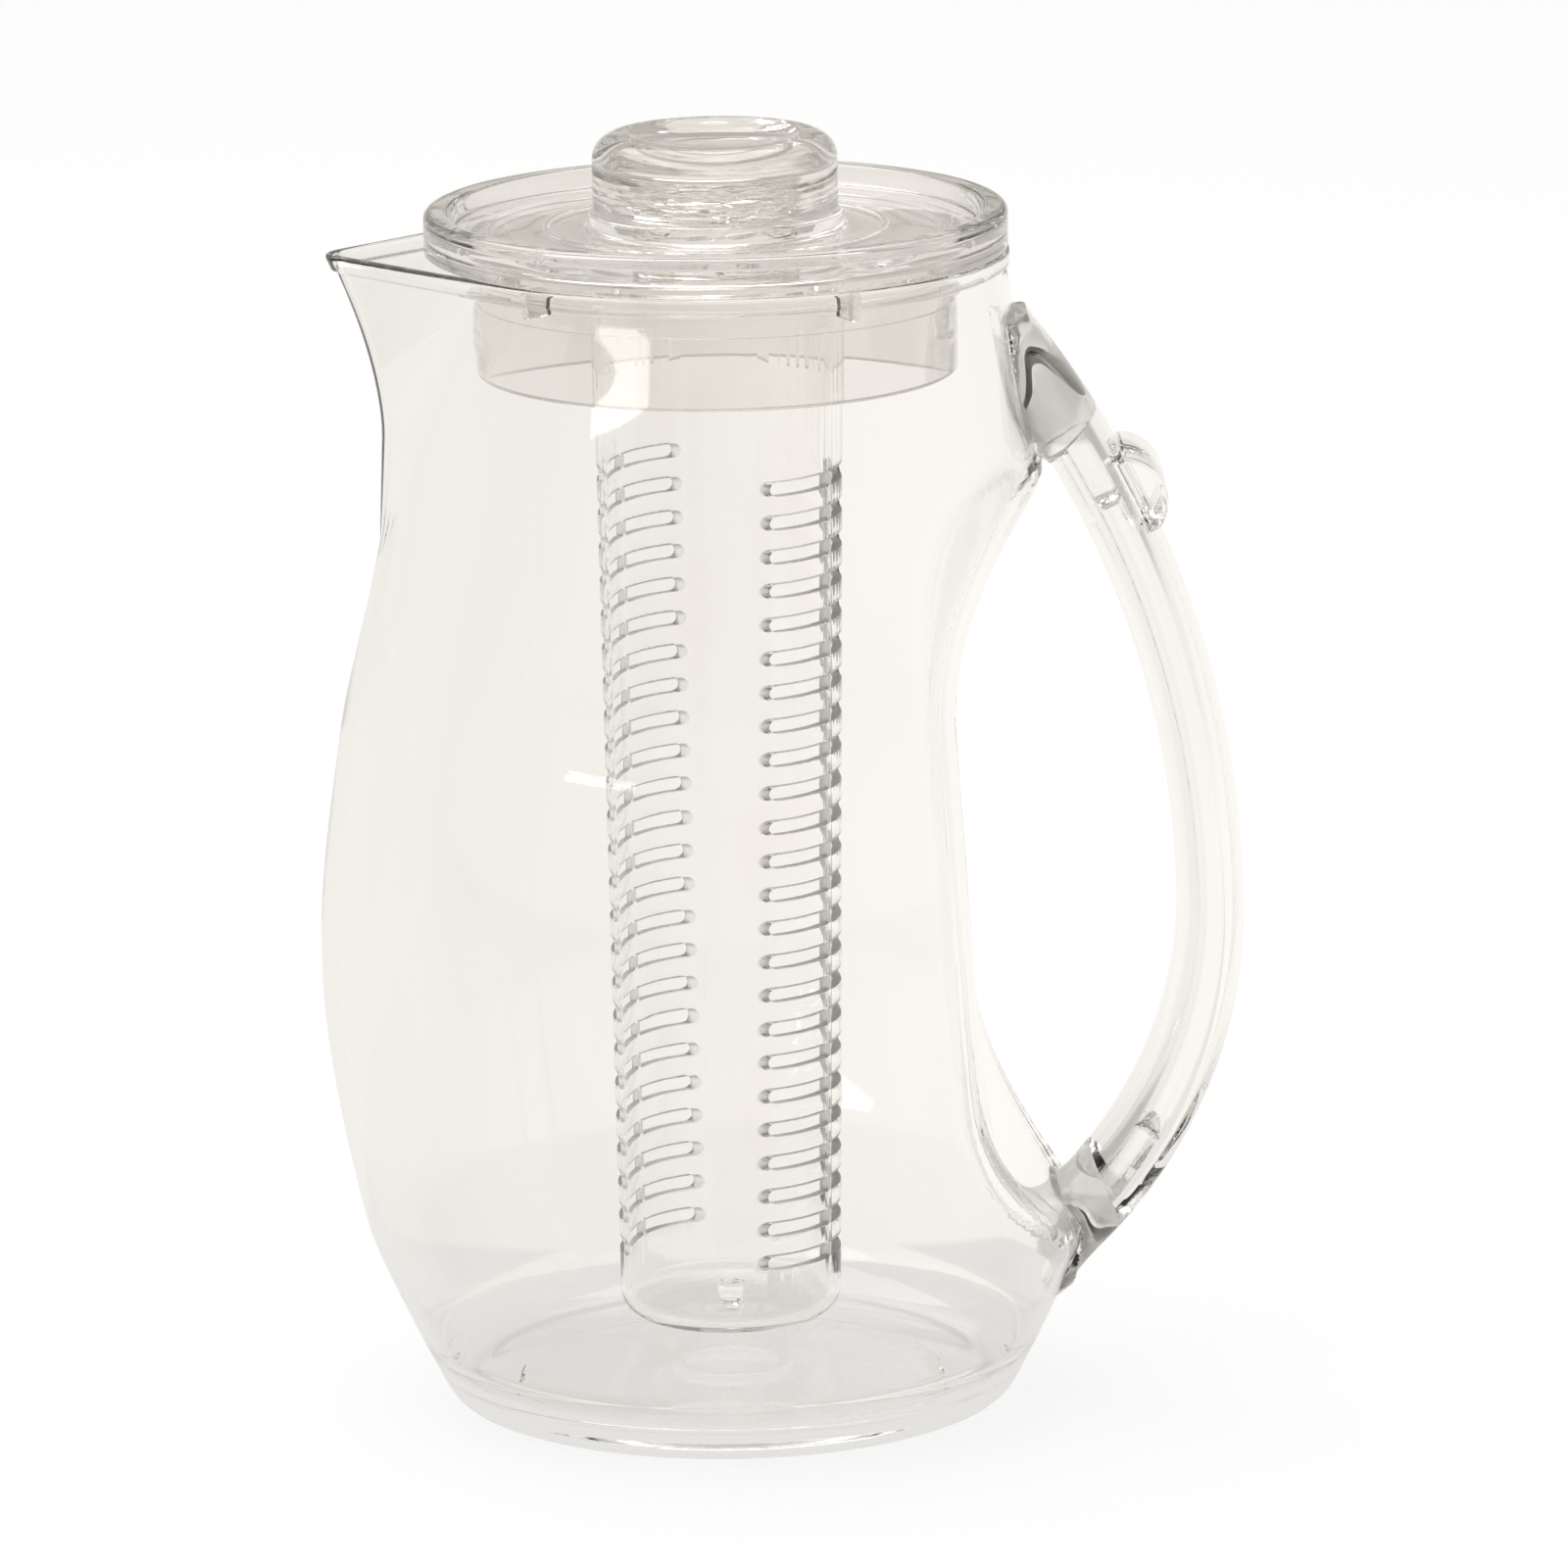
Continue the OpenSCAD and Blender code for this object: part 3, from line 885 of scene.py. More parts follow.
@dataclass
class PitcherBody:
    """Clear pitcher with its spout, hand recess and the two handle stubs."""

    sweep: HandleSweep
    stations: Sequence[Point] = (
        (56.5, 0.0),
        (66.0, 19.0),
        (74.5, 40.0),
        (82.0, 90.0),
        (77.4, 138.0),
        (70.6, 168.0),
        (62.7, 205.0),
        (57.9, 233.3),
    )
    widest: float = 81.95
    rim_r: float = 58.8
    rim_z: float = 236.5
    wall: float = 2.5
    floor_t: float = 5.0
    floor_r: float = 50.0
    cove_top: float = 14.0
    cove_share: float = 0.9
    cove_steps: int = 14
    foot_round: float = 7.0
    foot_top: float = 6.0
    # Longest straight step under the floor and over it
    floor_steps: Point = (10.0, 8.0)
    ring_r: float = 12.4
    ring_bore_r: float = 9.0
    ring_h: float = 1.5
    ring_slope: float = 0.5
    ring_round: float = 0.5
    ring_root_round: float = 0.3
    rim_round: float = 0.9
    band_rounds: Point = (0.25, 0.35)
    band_joint: float = 0.5
    outside_stop: float = 0.9
    inside_start: float = 1.0
    mark_r: float = 42.9
    mark_half: float = 0.4
    mark_depth: float = 0.35
    nose_reach: float = 77.6
    nose_x: float = 67.6
    flare_z: float = 200.0
    spout_low_z: float = 176.0
    nose_r: float = 7.0
    spout_sink: float = 0.3
    flare_power: float = 1.7
    recess_low: Corner = (102.5, 80.0, 52.0)
    recess_top: Corner = (96.0, 150.0, 50.0)
    crease: float = 6.0
    recess_facing: float = 0.05
    no_recess: float = 235.2
    turn_steps: int = 272
    outside_levels: int = 116
    inside_levels: int = 104
    nose_pull: float = 0.72
    nose_pull_deg: float = 20.0
    root: float = 1.2
    core_steps: int = 144
    core_levels: int = 90
    core_low: float = 3.0
    core_under: float = 4.0
    stub_ends: Point = (38.5, -59.0)
    stub_steps: int = 36
    spigot_steps: int = 22
    # Inset and rise of each ring of the spigot's rounded tip
    tip_rings: Sequence[Point] = ((0.35, 0.62), (0.45, 0.42), (0.6, 0.2), (1.2, 0.08))
    spigot_len: float = 15.0
    cement_gap: float = 0.1
    blend: float = 5.0
    blend_share: float = 0.45

    @property
    def throat_z(self) -> float:
        """Height of the throat."""
        return self.stations[-1][1]

    def slope(self, i: int) -> float:
        """Slope of the outline at a station."""
        a = self.stations[max(i - 1, 0)]
        b = self.stations[min(i + 1, len(self.stations) - 1)]
        return (b[0] - a[0]) / (b[1] - a[1])

    def side(self, z: float) -> float:
        """Outer radius of the side at a height.

        Args:
            z: Height, kept inside the outline.

        Returns:
            The radius.
        """
        z = clamp(z, 0.0, self.throat_z)
        i = 0
        while i < len(self.stations) - 2 and z >= self.stations[i + 1][1]:
            i += 1
        (ra, za), (rb, zb) = self.stations[i], self.stations[i + 1]
        h = zb - za
        t = (z - za) / h
        t2, t3 = t * t, t * t * t
        r = (
            ra * (2 * t3 - 3 * t2 + 1)
            + rb * (3 * t2 - 2 * t3)
            + h * (self.slope(i) * (t3 - 2 * t2 + t) + self.slope(i + 1) * (t3 - t2))
        )
        return min(r, self.widest)

    def nose(self, z: float) -> float:
        """Reach of the spout's nose at a height."""
        if z < self.flare_z:
            low = self.side(self.spout_low_z) - self.spout_sink
            share = (z - self.spout_low_z) / (self.flare_z - self.spout_low_z)
            return low + (self.nose_x - low) * share
        share = (z - self.flare_z) / (self.rim_z - self.flare_z)
        return self.nose_x + (self.nose_reach - self.nose_x) * share**self.flare_power

    def spout(self, q: float, r: float, x: float, e: float) -> float:
        """Radius of the spout's plan at an angle from the nose.

        Args:
            q: Angle from the nose, in radians.
            r: Radius of the side.
            x: Reach of the nose.
            e: Radius of the nose.

        Returns:
            The radius.
        """
        d = x - e
        side = math.acos(min((r - e) / d, 1.0))
        tip = math.atan2(e * math.sin(side), d + e * math.cos(side))
        if q >= side:
            return r
        if q >= tip:
            return r / math.cos(side - q)
        return d * math.cos(q) + math.sqrt(max(e * e - (d * math.sin(q)) ** 2, 0.0))

    def recess(self, z: float, grow: float) -> float:
        """Distance from the axis to the hand recess at a height.

        Args:
            z: Height.
            grow: Extra radius of the recess's curves.

        Returns:
            The distance, far outside the side where there is no recess.
        """
        (lx, lz, lr), (tx, tz, tr) = self.recess_low, self.recess_top
        apart = math.hypot(tx - lx, tz - lz)
        touch = math.atan2(tz - lz, tx - lx) + math.acos((lr - tr) / apart)
        lr, tr = lr + grow, tr + grow
        low = (lx + lr * math.cos(touch), lz + lr * math.sin(touch))
        top = (tx + tr * math.cos(touch), tz + tr * math.sin(touch))
        if z <= low[1]:
            fall = lr * lr - (z - lz) ** 2
            return lx - math.sqrt(fall) if fall > 0.0 else self.no_recess
        if z >= top[1]:
            fall = tr * tr - (z - tz) ** 2
            return tx - math.sqrt(fall) if fall > 0.0 else self.no_recess
        return low[0] + (top[0] - low[0]) * (z - low[1]) / (top[1] - low[1])

    def skin(self, angle: float, z: float, depth: float) -> float:
        """Radius of the wall at a depth under its outer skin.

        Args:
            angle: Angle round the axis from the handle, in radians.
            z: Height.
            depth: Depth under the outer skin.

        Returns:
            The radius.
        """
        r = self.side(z) - depth
        facing = math.cos(angle)
        if facing > self.recess_facing:
            cut = self.recess(z, depth)
            r = soft_least(r, cut / facing, self.crease)
        elif z > self.spout_low_z and facing < 0.0:
            q = math.pi - abs(angle)
            r = self.spout(q, r, self.nose(min(z, self.rim_z)) - depth, self.nose_r - depth)
        return r

    def side_line(self, low: float, high: float, count: int, depth: float) -> list[Point]:
        """Evenly spaced points of the side, at a depth under its skin."""
        return [(self.side(z) - depth, z) for z in steps_between(low, high, count)]

    def outline(self) -> list[Point]:
        """Closed outline of the wall and floor, from axis to axis.

        Returns:
            Radius and height of each point.
        """
        foot = rounded(
            [
                (0.0, 0.0, 0.0),
                (self.mark_r - self.mark_half, 0.0, 0.0),
                (self.mark_r, self.mark_depth, 0.0),
                (self.mark_r + self.mark_half, 0.0, 0.0),
                (self.stations[0][0], 0.0, self.foot_round),
                (self.side(self.foot_top), self.foot_top, 0.0),
            ]
        )
        stop = self.throat_z - self.outside_stop
        outside = self.side_line(self.foot_top, stop, self.outside_levels, 0.0)
        throat = self.side(self.throat_z)
        joint = self.throat_z - self.band_joint
        band = rounded(
            [
                (throat, joint, 0.0),
                (throat, self.throat_z, self.band_rounds[0]),
                (self.rim_r, self.throat_z, self.band_rounds[1]),
                (self.rim_r, self.rim_z, self.rim_round),
                (throat - self.wall, self.rim_z, self.rim_round),
                (throat - self.wall, joint, 0.0),
            ]
        )
        start = self.throat_z - self.inside_start
        inside = self.side_line(start, self.cove_top, self.inside_levels, self.wall)
        ring_top = self.floor_t + self.ring_h
        floor = rounded(
            [
                (self.floor_r, self.floor_t, 0.0),
                (self.ring_r, self.floor_t, self.ring_root_round),
                (self.ring_r - self.ring_slope, ring_top, self.ring_round),
                (self.ring_bore_r + self.ring_slope, ring_top, self.ring_round),
                (self.ring_bore_r, self.floor_t, self.ring_root_round),
                (0.0, self.floor_t, 0.0),
            ]
        )
        under, over = self.floor_steps
        skins = outside + band + inside + self.cove(inside[-1])
        return finer(foot[:2], under) + foot[2:] + skins + finer(floor, over)

    def cove(self, top: Point) -> list[Point]:
        """Hollow curve from the inside wall down to the floor.

        Args:
            top: Where it leaves the wall.

        Returns:
            Its points, from the wall to the floor.
        """
        path = []
        for t in reversed(steps_between(0.0, 1.0, self.cove_steps)):
            a = t * math.pi / 2.0
            run = t + (math.sin(a) - t) * self.cove_share
            rise = t + (1.0 - math.cos(a) - t) * self.cove_share
            r = self.floor_r + (top[0] - self.floor_r) * run
            path.append((r, self.floor_t + (top[1] - self.floor_t) * rise))
        return path

    def shape_wall(self, bm: bmesh.types.BMesh) -> None:
        """Draws the turned wall into the recess and out into the spout.

        Args:
            bm: The turned wall.
        """
        width = math.radians(self.nose_pull_deg)
        for v in bm.verts:
            r, angle = polar(v)
            if r < SAME_POINT:
                continue
            q = math.pi - abs(angle)
            q *= 1.0 - self.nose_pull * math.exp(-((q / width) ** 2))
            angle = math.copysign(math.pi - q, angle)
            if v.co.z > self.cove_top:
                r = self.skin(angle, v.co.z, self.side(v.co.z) - r)
            put(v, r, angle)

    def core(self) -> bpy.types.Object:
        """Builds the space inside the middle of the wall.

        Returns:
            A closed solid, which cuts the stubs' roots.
        """
        low, high = self.core_low, self.throat_z - self.core_under
        path = self.side_line(low, high, self.core_levels, self.root)
        bm = turned([(0.0, low), *path, (0.0, high)], self.core_steps)
        for v in bm.verts:
            r, angle = polar(v)
            if r > SAME_POINT:
                put(v, self.skin(angle, v.co.z, self.root), angle)
        return as_object(bm, "core")

    def stub(self, upper: bool) -> bpy.types.Object:
        """Builds one solid stub with its spigot, rooted in the wall.

        Args:
            upper: Whether it is the upper stub.

        Returns:
            A closed solid.
        """
        sweep = self.sweep
        seam = sweep.upper_seam if upper else sweep.lower_seam
        seam_lean = sweep.upper_lean if upper else sweep.lower_lean
        end = self.stub_ends[0 if upper else 1]
        towards_middle = -1.0 if upper else 1.0
        spigot = math.degrees(self.spigot_len / sweep.radius(upper)) * towards_middle

        def fading(slope: float) -> float:
            """Lean that fades away from the seam."""
            span = end - seam if (slope - seam) * (end - seam) > 0.0 else spigot
            return seam_lean * max(1.0 - (slope - seam) / span, 0.0) ** 2

        bm = bmesh.new()
        seam_ring = sweep.ring(bm, 0.0)
        base_ring = sweep.drawn_in(bm, seam_ring, sweep.wall + self.cement_gap)
        sweep.turn_to(bm, seam)
        ends = []
        runs = (
            (seam_ring, end, self.stub_steps),
            (base_ring, seam + spigot, self.spigot_steps),
        )
        for edges, to, steps in runs:
            section = [*edges, *{v for e in edges for v in e.verts}]
            last = sweep.sweep(bm, section, seam, to, steps)
            ends.append([g for g in last if isinstance(g, bmesh.types.BMEdge)])
        bmesh.ops.contextual_create(bm, geom=ends[0])
        tip = bmesh.ops.contextual_create(bm, geom=ends[1])["faces"]
        onwards = sweep.along(seam + spigot) * towards_middle
        for size, rise in self.tip_rings:
            bmesh.ops.inset_region(bm, faces=tip, thickness=size, depth=0.0, use_even_offset=True)
            bmesh.ops.translate(bm, vec=onwards * rise, verts=tip[0].verts)
        clean(bm)
        sweep.lean_and_swell(bm.verts, fading)
        self.flare(bm)
        bmesh.ops.recalc_face_normals(bm, faces=bm.faces)
        made = as_object(bm, "stub")
        return combined(made, [(self.core(), Join.CUT)])

    def flare(self, bm: bmesh.types.BMesh) -> None:
        """Swells a stub where it meets the wall, as a moulded fillet does.

        Args:
            bm: Mesh of the stub.
        """
        bm.normal_update()
        moves = []
        for v in bm.verts:
            r, angle = polar(v)
            out = r - self.skin(angle, v.co.z, 0.0)
            near = clamp(1.0 - max(out, 0.0) / self.blend)
            bulge = 1.0 - math.sqrt(1.0 - near * near)
            moves.append(v.normal * self.blend * bulge * self.blend_share)
        for v, move in zip(bm.verts, moves):
            v.co += move

    def build(self) -> bpy.types.Object:
        """Makes the piece.

        Returns:
            The dressed pitcher.
        """
        bm = turned(self.outline(), self.turn_steps)
        self.shape_wall(bm)
        clean(bm)
        made = as_object(bm, "clear_pitcher")
        combined(made, [(self.stub(True), Join.ADD), (self.stub(False), Join.ADD)])
        return finished(made, Finish.BODY)


@dataclass
class Handle:
    """Hollow curved handle with its thumb rest."""

    sweep: HandleSweep
    joint_gap: float = 0.06
    rest_len: float = 16.3
    rest_h: float = 5.0
    rest_w: float = 28.0
    rest_z: float = 185.0
    rest_wall: float = 1.15
    rest_hollow: float = 12.9
    rest_root: float = 2.6
    rest_round: float = 0.5
    rest_steps: int = 20
    low_steps: int = 64
    high_steps: int = 100

    def shell(self) -> bmesh.types.BMesh:
        """Sweeps the outer and inner wall and closes their ends.

        Returns:
            A closed hollow mesh.
        """
        sweep = self.sweep
        high = sweep.upper_seam - math.degrees(self.joint_gap / sweep.upper_r)
        low = sweep.lower_seam + math.degrees(self.joint_gap / sweep.lower_r)

        def lean(slope: float) -> float:
            """Lean that fades from each seam towards the other."""
            t = (slope - low) / (high - low)
            return sweep.lower_lean * (1.0 - t) ** 2 + sweep.upper_lean * t * t

        bm = bmesh.new()
        outer = sweep.ring(bm, 0.0)
        sweep.drawn_in(bm, outer, sweep.wall)
        sweep.turn_to(bm, low)
        section = [*bm.verts, *bm.edges, *bm.faces]
        section = sweep.sweep(bm, section, low, 0.0, self.low_steps)
        sweep.sweep(bm, section, 0.0, high, self.high_steps)
        clean(bm)
        sweep.lean_and_swell(bm.verts, lean)
        return bm

    @staticmethod
    def ends(bm: bmesh.types.BMesh) -> list[bmesh.types.BMFace]:
        """The thumb rest's two flat ends."""
        return [f for f in bm.faces if abs(f.normal.y) > END_FACING]

    def rest(self) -> bpy.types.Object:
        """Builds the D-shaped thumb rest, hollow from both ends.

        Returns:
            A closed solid.
        """
        sweep = self.sweep
        slope = math.asin((self.rest_z - sweep.middle_z) / sweep.upper_r)
        half = self.rest_len / 2.0
        arc_r = (half * half + self.rest_h**2) / (2.0 * self.rest_h)
        reach = math.asin(half / arc_r)
        arc = [
            (self.rest_h - arc_r + arc_r * math.cos(a), arc_r * math.sin(a))
            for a in (reach * share for share in steps_between(-1.0, 1.0, self.rest_steps))
        ]
        path = [(-self.rest_root, -half), *arc, (-self.rest_root, half)]
        bm = bmesh.new()
        ring = [bm.verts.new((u, -self.rest_w / 2.0, t)) for u, t in path]
        extrude_face(bm, bm.faces.new(ring), (0.0, self.rest_w, 0.0))
        clean(bm)
        bevel(bm, [e for f in self.ends(bm) for e in f.edges], self.rest_round)
        inset = self.rest_wall - self.rest_round
        for f in self.ends(bm):
            inward = -math.copysign(1.0, f.normal.y)
            bmesh.ops.inset_region(bm, faces=[f], thickness=inset, use_even_offset=True)
            extrude_face(bm, f, (0.0, inward * self.rest_hollow, 0.0))
            bmesh.ops.delete(bm, geom=[f], context="FACES_ONLY")
        bmesh.ops.recalc_face_normals(bm, faces=bm.faces)
        rotate(bm, bm.verts, -slope, "Y")
        face_r = sweep.upper_r + sweep.thick / 2.0
        out = Vector((face_r * math.cos(slope), 0.0, face_r * math.sin(slope)))
        bmesh.ops.translate(bm, vec=sweep.centre(True) + out, verts=bm.verts)
        return as_object(bm, "rest")

    def build(self) -> bpy.types.Object:
        """Makes the piece.

        Returns:
            The dressed handle.
        """
        made = as_object(self.shell(), "clear_handle")
        combined(made, [(self.rest(), Join.ADD)])
        return finished(made, Finish.HANDLE)


# Lid, knob and infuser


@dataclass
class Thread:
    """Right-handed thread that the neck and the knob share."""

    radius: float = 17.0
    depth: float = 0.75
    pitch: float = 3.0
    gap: float = 0.06
    low_z: float = 239.0
    high_z: float = 251.2
    fade: float = 1.2
    flat: float = 0.15
    flank: float = 0.7
    # Points this near the wall's radius belong to the wall
    same_r: float = 0.01

    def cut(self, angle: float, z: float, low: float, high: float) -> float:
        """Depth of the thread's groove at a place.

        Args:
            angle: Angle round the axis, in radians.
            z: Height.
            low: Height where the thread starts.
            high: Height where it ends.

        Returns:
            Depth under the crest.
        """
        phase = z / self.pitch - angle / math.tau
        wave = 0.5 - 0.5 * math.cos(math.tau * phase)
        ends = smooth_share((z - low) / self.fade) * smooth_share((high - z) / self.fade)
        return self.depth * smooth_share((wave - self.flat) / self.flank) * ends

    def carve(
        self, bm: bmesh.types.BMesh, wall_r: float, span: Point, runs: Point, gap: float
    ) -> None:
        """Cuts the thread into a turned wall.

        Args:
            bm: Mesh of the piece.
            wall_r: Radius of the wall.
            span: Heights between which the wall is changed.
            runs: Plain lengths at the wall's low and high end.
            gap: How far the wall is drawn outwards as well.
        """
        low, high = span
        for v in bm.verts:
            r, angle = polar(v)
            if abs(r - wall_r) < self.same_r and low < v.co.z < high:
                groove = self.cut(angle, v.co.z, low + runs[0], high - runs[1])
                share = (wall_r - groove + gap) / wall_r
                v.co.x *= share
                v.co.y *= share


@dataclass
class Lid:
    """Round lid with a raised edge, a skirt, centring fins and a collar."""

    rim_z: float = 236.5
    outer_r: float = 58.5
    edge_h: float = 8.5
    edge_w: float = 4.6
    edge_round: float = 1.5
    plate_low: float = 1.5
    plate_t: float = 3.2
    skirt_r: float = 48.2
    skirt_t: float = 2.3
    skirt_h: float = 24.3
    skirt_step: float = 0.5
    band_h: float = 9.5
    fin_count: int = 5
    fin_t: float = 1.8
    fin_h: float = 6.7
    fin_first_deg: float = -60.5
    fin_reach: float = 55.0
    ridge_r: float = 34.0
    ridge_half: float = 0.7
    ridge_h: float = 0.4
    collar_r: float = 25.4
    collar_h: float = 8.0
    bore_r: float = 17.06
    rest_gap: float = 0.1
    # Where the outline starts and ends, under the plate
    seam_r: float = 30.0
    skirt_root_round: float = 1.0
    skirt_round: float = 0.8
    band_rounds: Point = (0.3, 0.25)
    seat_rounds: Point = (0.6, 0.5)
    edge_in_round: float = 1.2
    ridge_slope: float = 0.2
    ridge_root_round: float = 0.3
    ridge_round: float = 0.15
    collar_slope: float = 0.2
    collar_root_round: float = 1.4
    collar_round: float = 0.7
    bore_rounds: Point = (0.5, 0.4)
    fin_round: float = 0.35
    # Tells the root's top corners, whose edges stay sharp, from the others
    fin_sharp: float = 1.0
    turn_steps: int = 288

    def outline(self) -> list[Point]:
        """Closed outline of the turned lid.

        Returns:
            Radius and height of each point, ending where it starts.
        """
        z = self.rim_z
        plate = z + self.plate_low
        top = plate + self.plate_t
        inner = self.skirt_r - self.skirt_t
        edge = self.outer_r - self.edge_w
        skirt_low, band_low, seat = z - self.skirt_h, z - self.band_h, z + self.rest_gap
        band_r = self.skirt_r + self.skirt_step
        ridge_out, ridge_in = self.ridge_r + self.ridge_half, self.ridge_r - self.ridge_half
        ridge_top, collar_top = top + self.ridge_h, z + self.collar_h
        corners = [
            (self.seam_r, plate, 0.0),
            (inner, plate, self.skirt_root_round),
            (inner, skirt_low, self.skirt_round),
            (self.skirt_r, skirt_low, self.skirt_round),
            (self.skirt_r, band_low, self.band_rounds[0]),
            (band_r, band_low, self.band_rounds[1]),
            (band_r, seat, self.seat_rounds[0]),
            (self.outer_r, seat, self.seat_rounds[1]),
            (self.outer_r, z + self.edge_h, self.edge_round),
            (edge, z + self.edge_h, self.edge_in_round),
            (edge - self.edge_round, top, self.edge_in_round),
            (ridge_out, top, self.ridge_root_round),
            (ridge_out - self.ridge_slope, ridge_top, self.ridge_round),
            (ridge_in + self.ridge_slope, ridge_top, self.ridge_round),
            (ridge_in, top, self.ridge_root_round),
            (self.collar_r + self.collar_slope, top, self.collar_root_round),
            (self.collar_r, collar_top, self.collar_round),
            (self.bore_r, collar_top, self.bore_rounds[0]),
            (self.bore_r, plate, self.bore_rounds[1]),
            (self.seam_r, plate, 0.0),
        ]
        return rounded(corners)

    def fin(self, angle: float) -> bpy.types.Object:
        """Builds one centring fin.

        Args:
            angle: Its angle round the axis, in degrees.

        Returns:
            A closed solid.
        """
        root = self.skirt_r - self.skirt_t / 2.0
        low, high = self.rim_z - self.fin_h, self.rim_z + self.plate_low
        bm = bmesh.new()
        bmesh.ops.create_cube(bm, size=1.0)
        bmesh.ops.scale(bm, vec=(self.fin_reach - root, self.fin_t, high - low), verts=bm.verts)
        middle = ((self.fin_reach + root) / 2.0, 0.0, (high + low) / 2.0)
        bmesh.ops.translate(bm, vec=middle, verts=bm.verts)
        outer, foot = root + self.fin_sharp, low + self.fin_sharp
        edges = [e for e in bm.edges if all(v.co.x > outer or v.co.z < foot for v in e.verts)]
        bevel(bm, edges, self.fin_round)
        rotate(bm, bm.verts, math.radians(angle))
        return as_object(bm, "fin")

    def build(self) -> bpy.types.Object:
        """Makes the piece.

        Returns:
            The dressed lid.
        """
        made = as_object(turned(self.outline(), self.turn_steps), "clear_lid")
        step = 360.0 / self.fin_count
        fins = [self.fin(self.fin_first_deg + step * i) for i in range(self.fin_count)]
        combined(made, [(fin, Join.ADD) for fin in fins])
        return finished(made, Finish.LID)


@dataclass
class Knob:
    """Dished cap that screws onto the infuser's neck."""

    thread: Thread
    outer_r: float = 24.6
    low_z: float = 244.6
    high_z: float = 259.99
    shoulder: float = 5.2
    dish_r: float = 17.2
    dish_h: float = 3.0
    roof_t: float = 3.5
    roof_round: float = 0.8
    foot_h: float = 1.4
    foot_rounds: Point = (0.6, 0.9)
    lip_round: float = 0.8
    shoulder_steps: int = 14
    dish_steps: int = 16
    thread_step: float = 0.3
    thread_runs: Point = (0.3, 0.6)
    turn_steps: int = 224

    @property
    def bore(self) -> float:
        """Radius of the threaded bore's crest."""
        return self.thread.radius + self.thread.gap

    @property
    def roof(self) -> float:
        """Height of the roof's underside."""
        return self.high_z - self.dish_h - self.roof_t

    def outline(self) -> list[Point]:
        """Outline from the roof's underside round to the dish's middle.

        Returns:
            Radius and height of each point.
        """
        bore, roof, foot_top = self.bore, self.roof, self.low_z + self.foot_h
        inside = rounded([(0.0, roof, 0.0), (bore, roof, self.roof_round), (bore, foot_top, 0.0)])
        bend_r, bend_z = self.outer_r - self.shoulder, self.high_z - self.shoulder
        foot = rounded(
            [
                (bore, foot_top, 0.0),
                (bore, self.low_z, self.foot_rounds[0]),
                (self.outer_r, self.low_z, self.foot_rounds[1]),
                (self.outer_r, bend_z, 0.0),
            ]
        )
        shoulder = [
            (bend_r + self.shoulder * math.cos(a), bend_z + self.shoulder * math.sin(a))
            for a in steps_between(0.0, math.pi / 2.0, self.shoulder_steps)
        ]
        arc_r = (self.dish_r**2 + self.dish_h**2) / (2.0 * self.dish_h)
        reach = math.asin(self.dish_r / arc_r)
        middle = self.high_z - self.dish_h + arc_r
        dish = [
            (arc_r * math.sin(a), middle - arc_r * math.cos(a))
            for a in (reach * share for share in steps_between(1.0, 0.0, self.dish_steps))
        ]
        lip = rounded(
            [
                (bend_r, self.high_z, 0.0),
                (self.dish_r, self.high_z, self.lip_round),
                (*dish[2], 0.0),
            ]
        )
        return finer(inside, self.thread_step) + foot[1:] + shoulder + lip[1:] + dish[3:]

    def build(self) -> bpy.types.Object:
        """Makes the piece.

        Returns:
            The dressed knob.
        """
        bm = turned(self.outline(), self.turn_steps)
        span = (self.low_z, self.roof)
        self.thread.carve(bm, self.bore, span, self.thread_runs, self.thread.gap)
        bmesh.ops.recalc_face_normals(bm, faces=bm.faces)
        return finished(as_object(bm, "clear_knob"), Finish.KNOB)


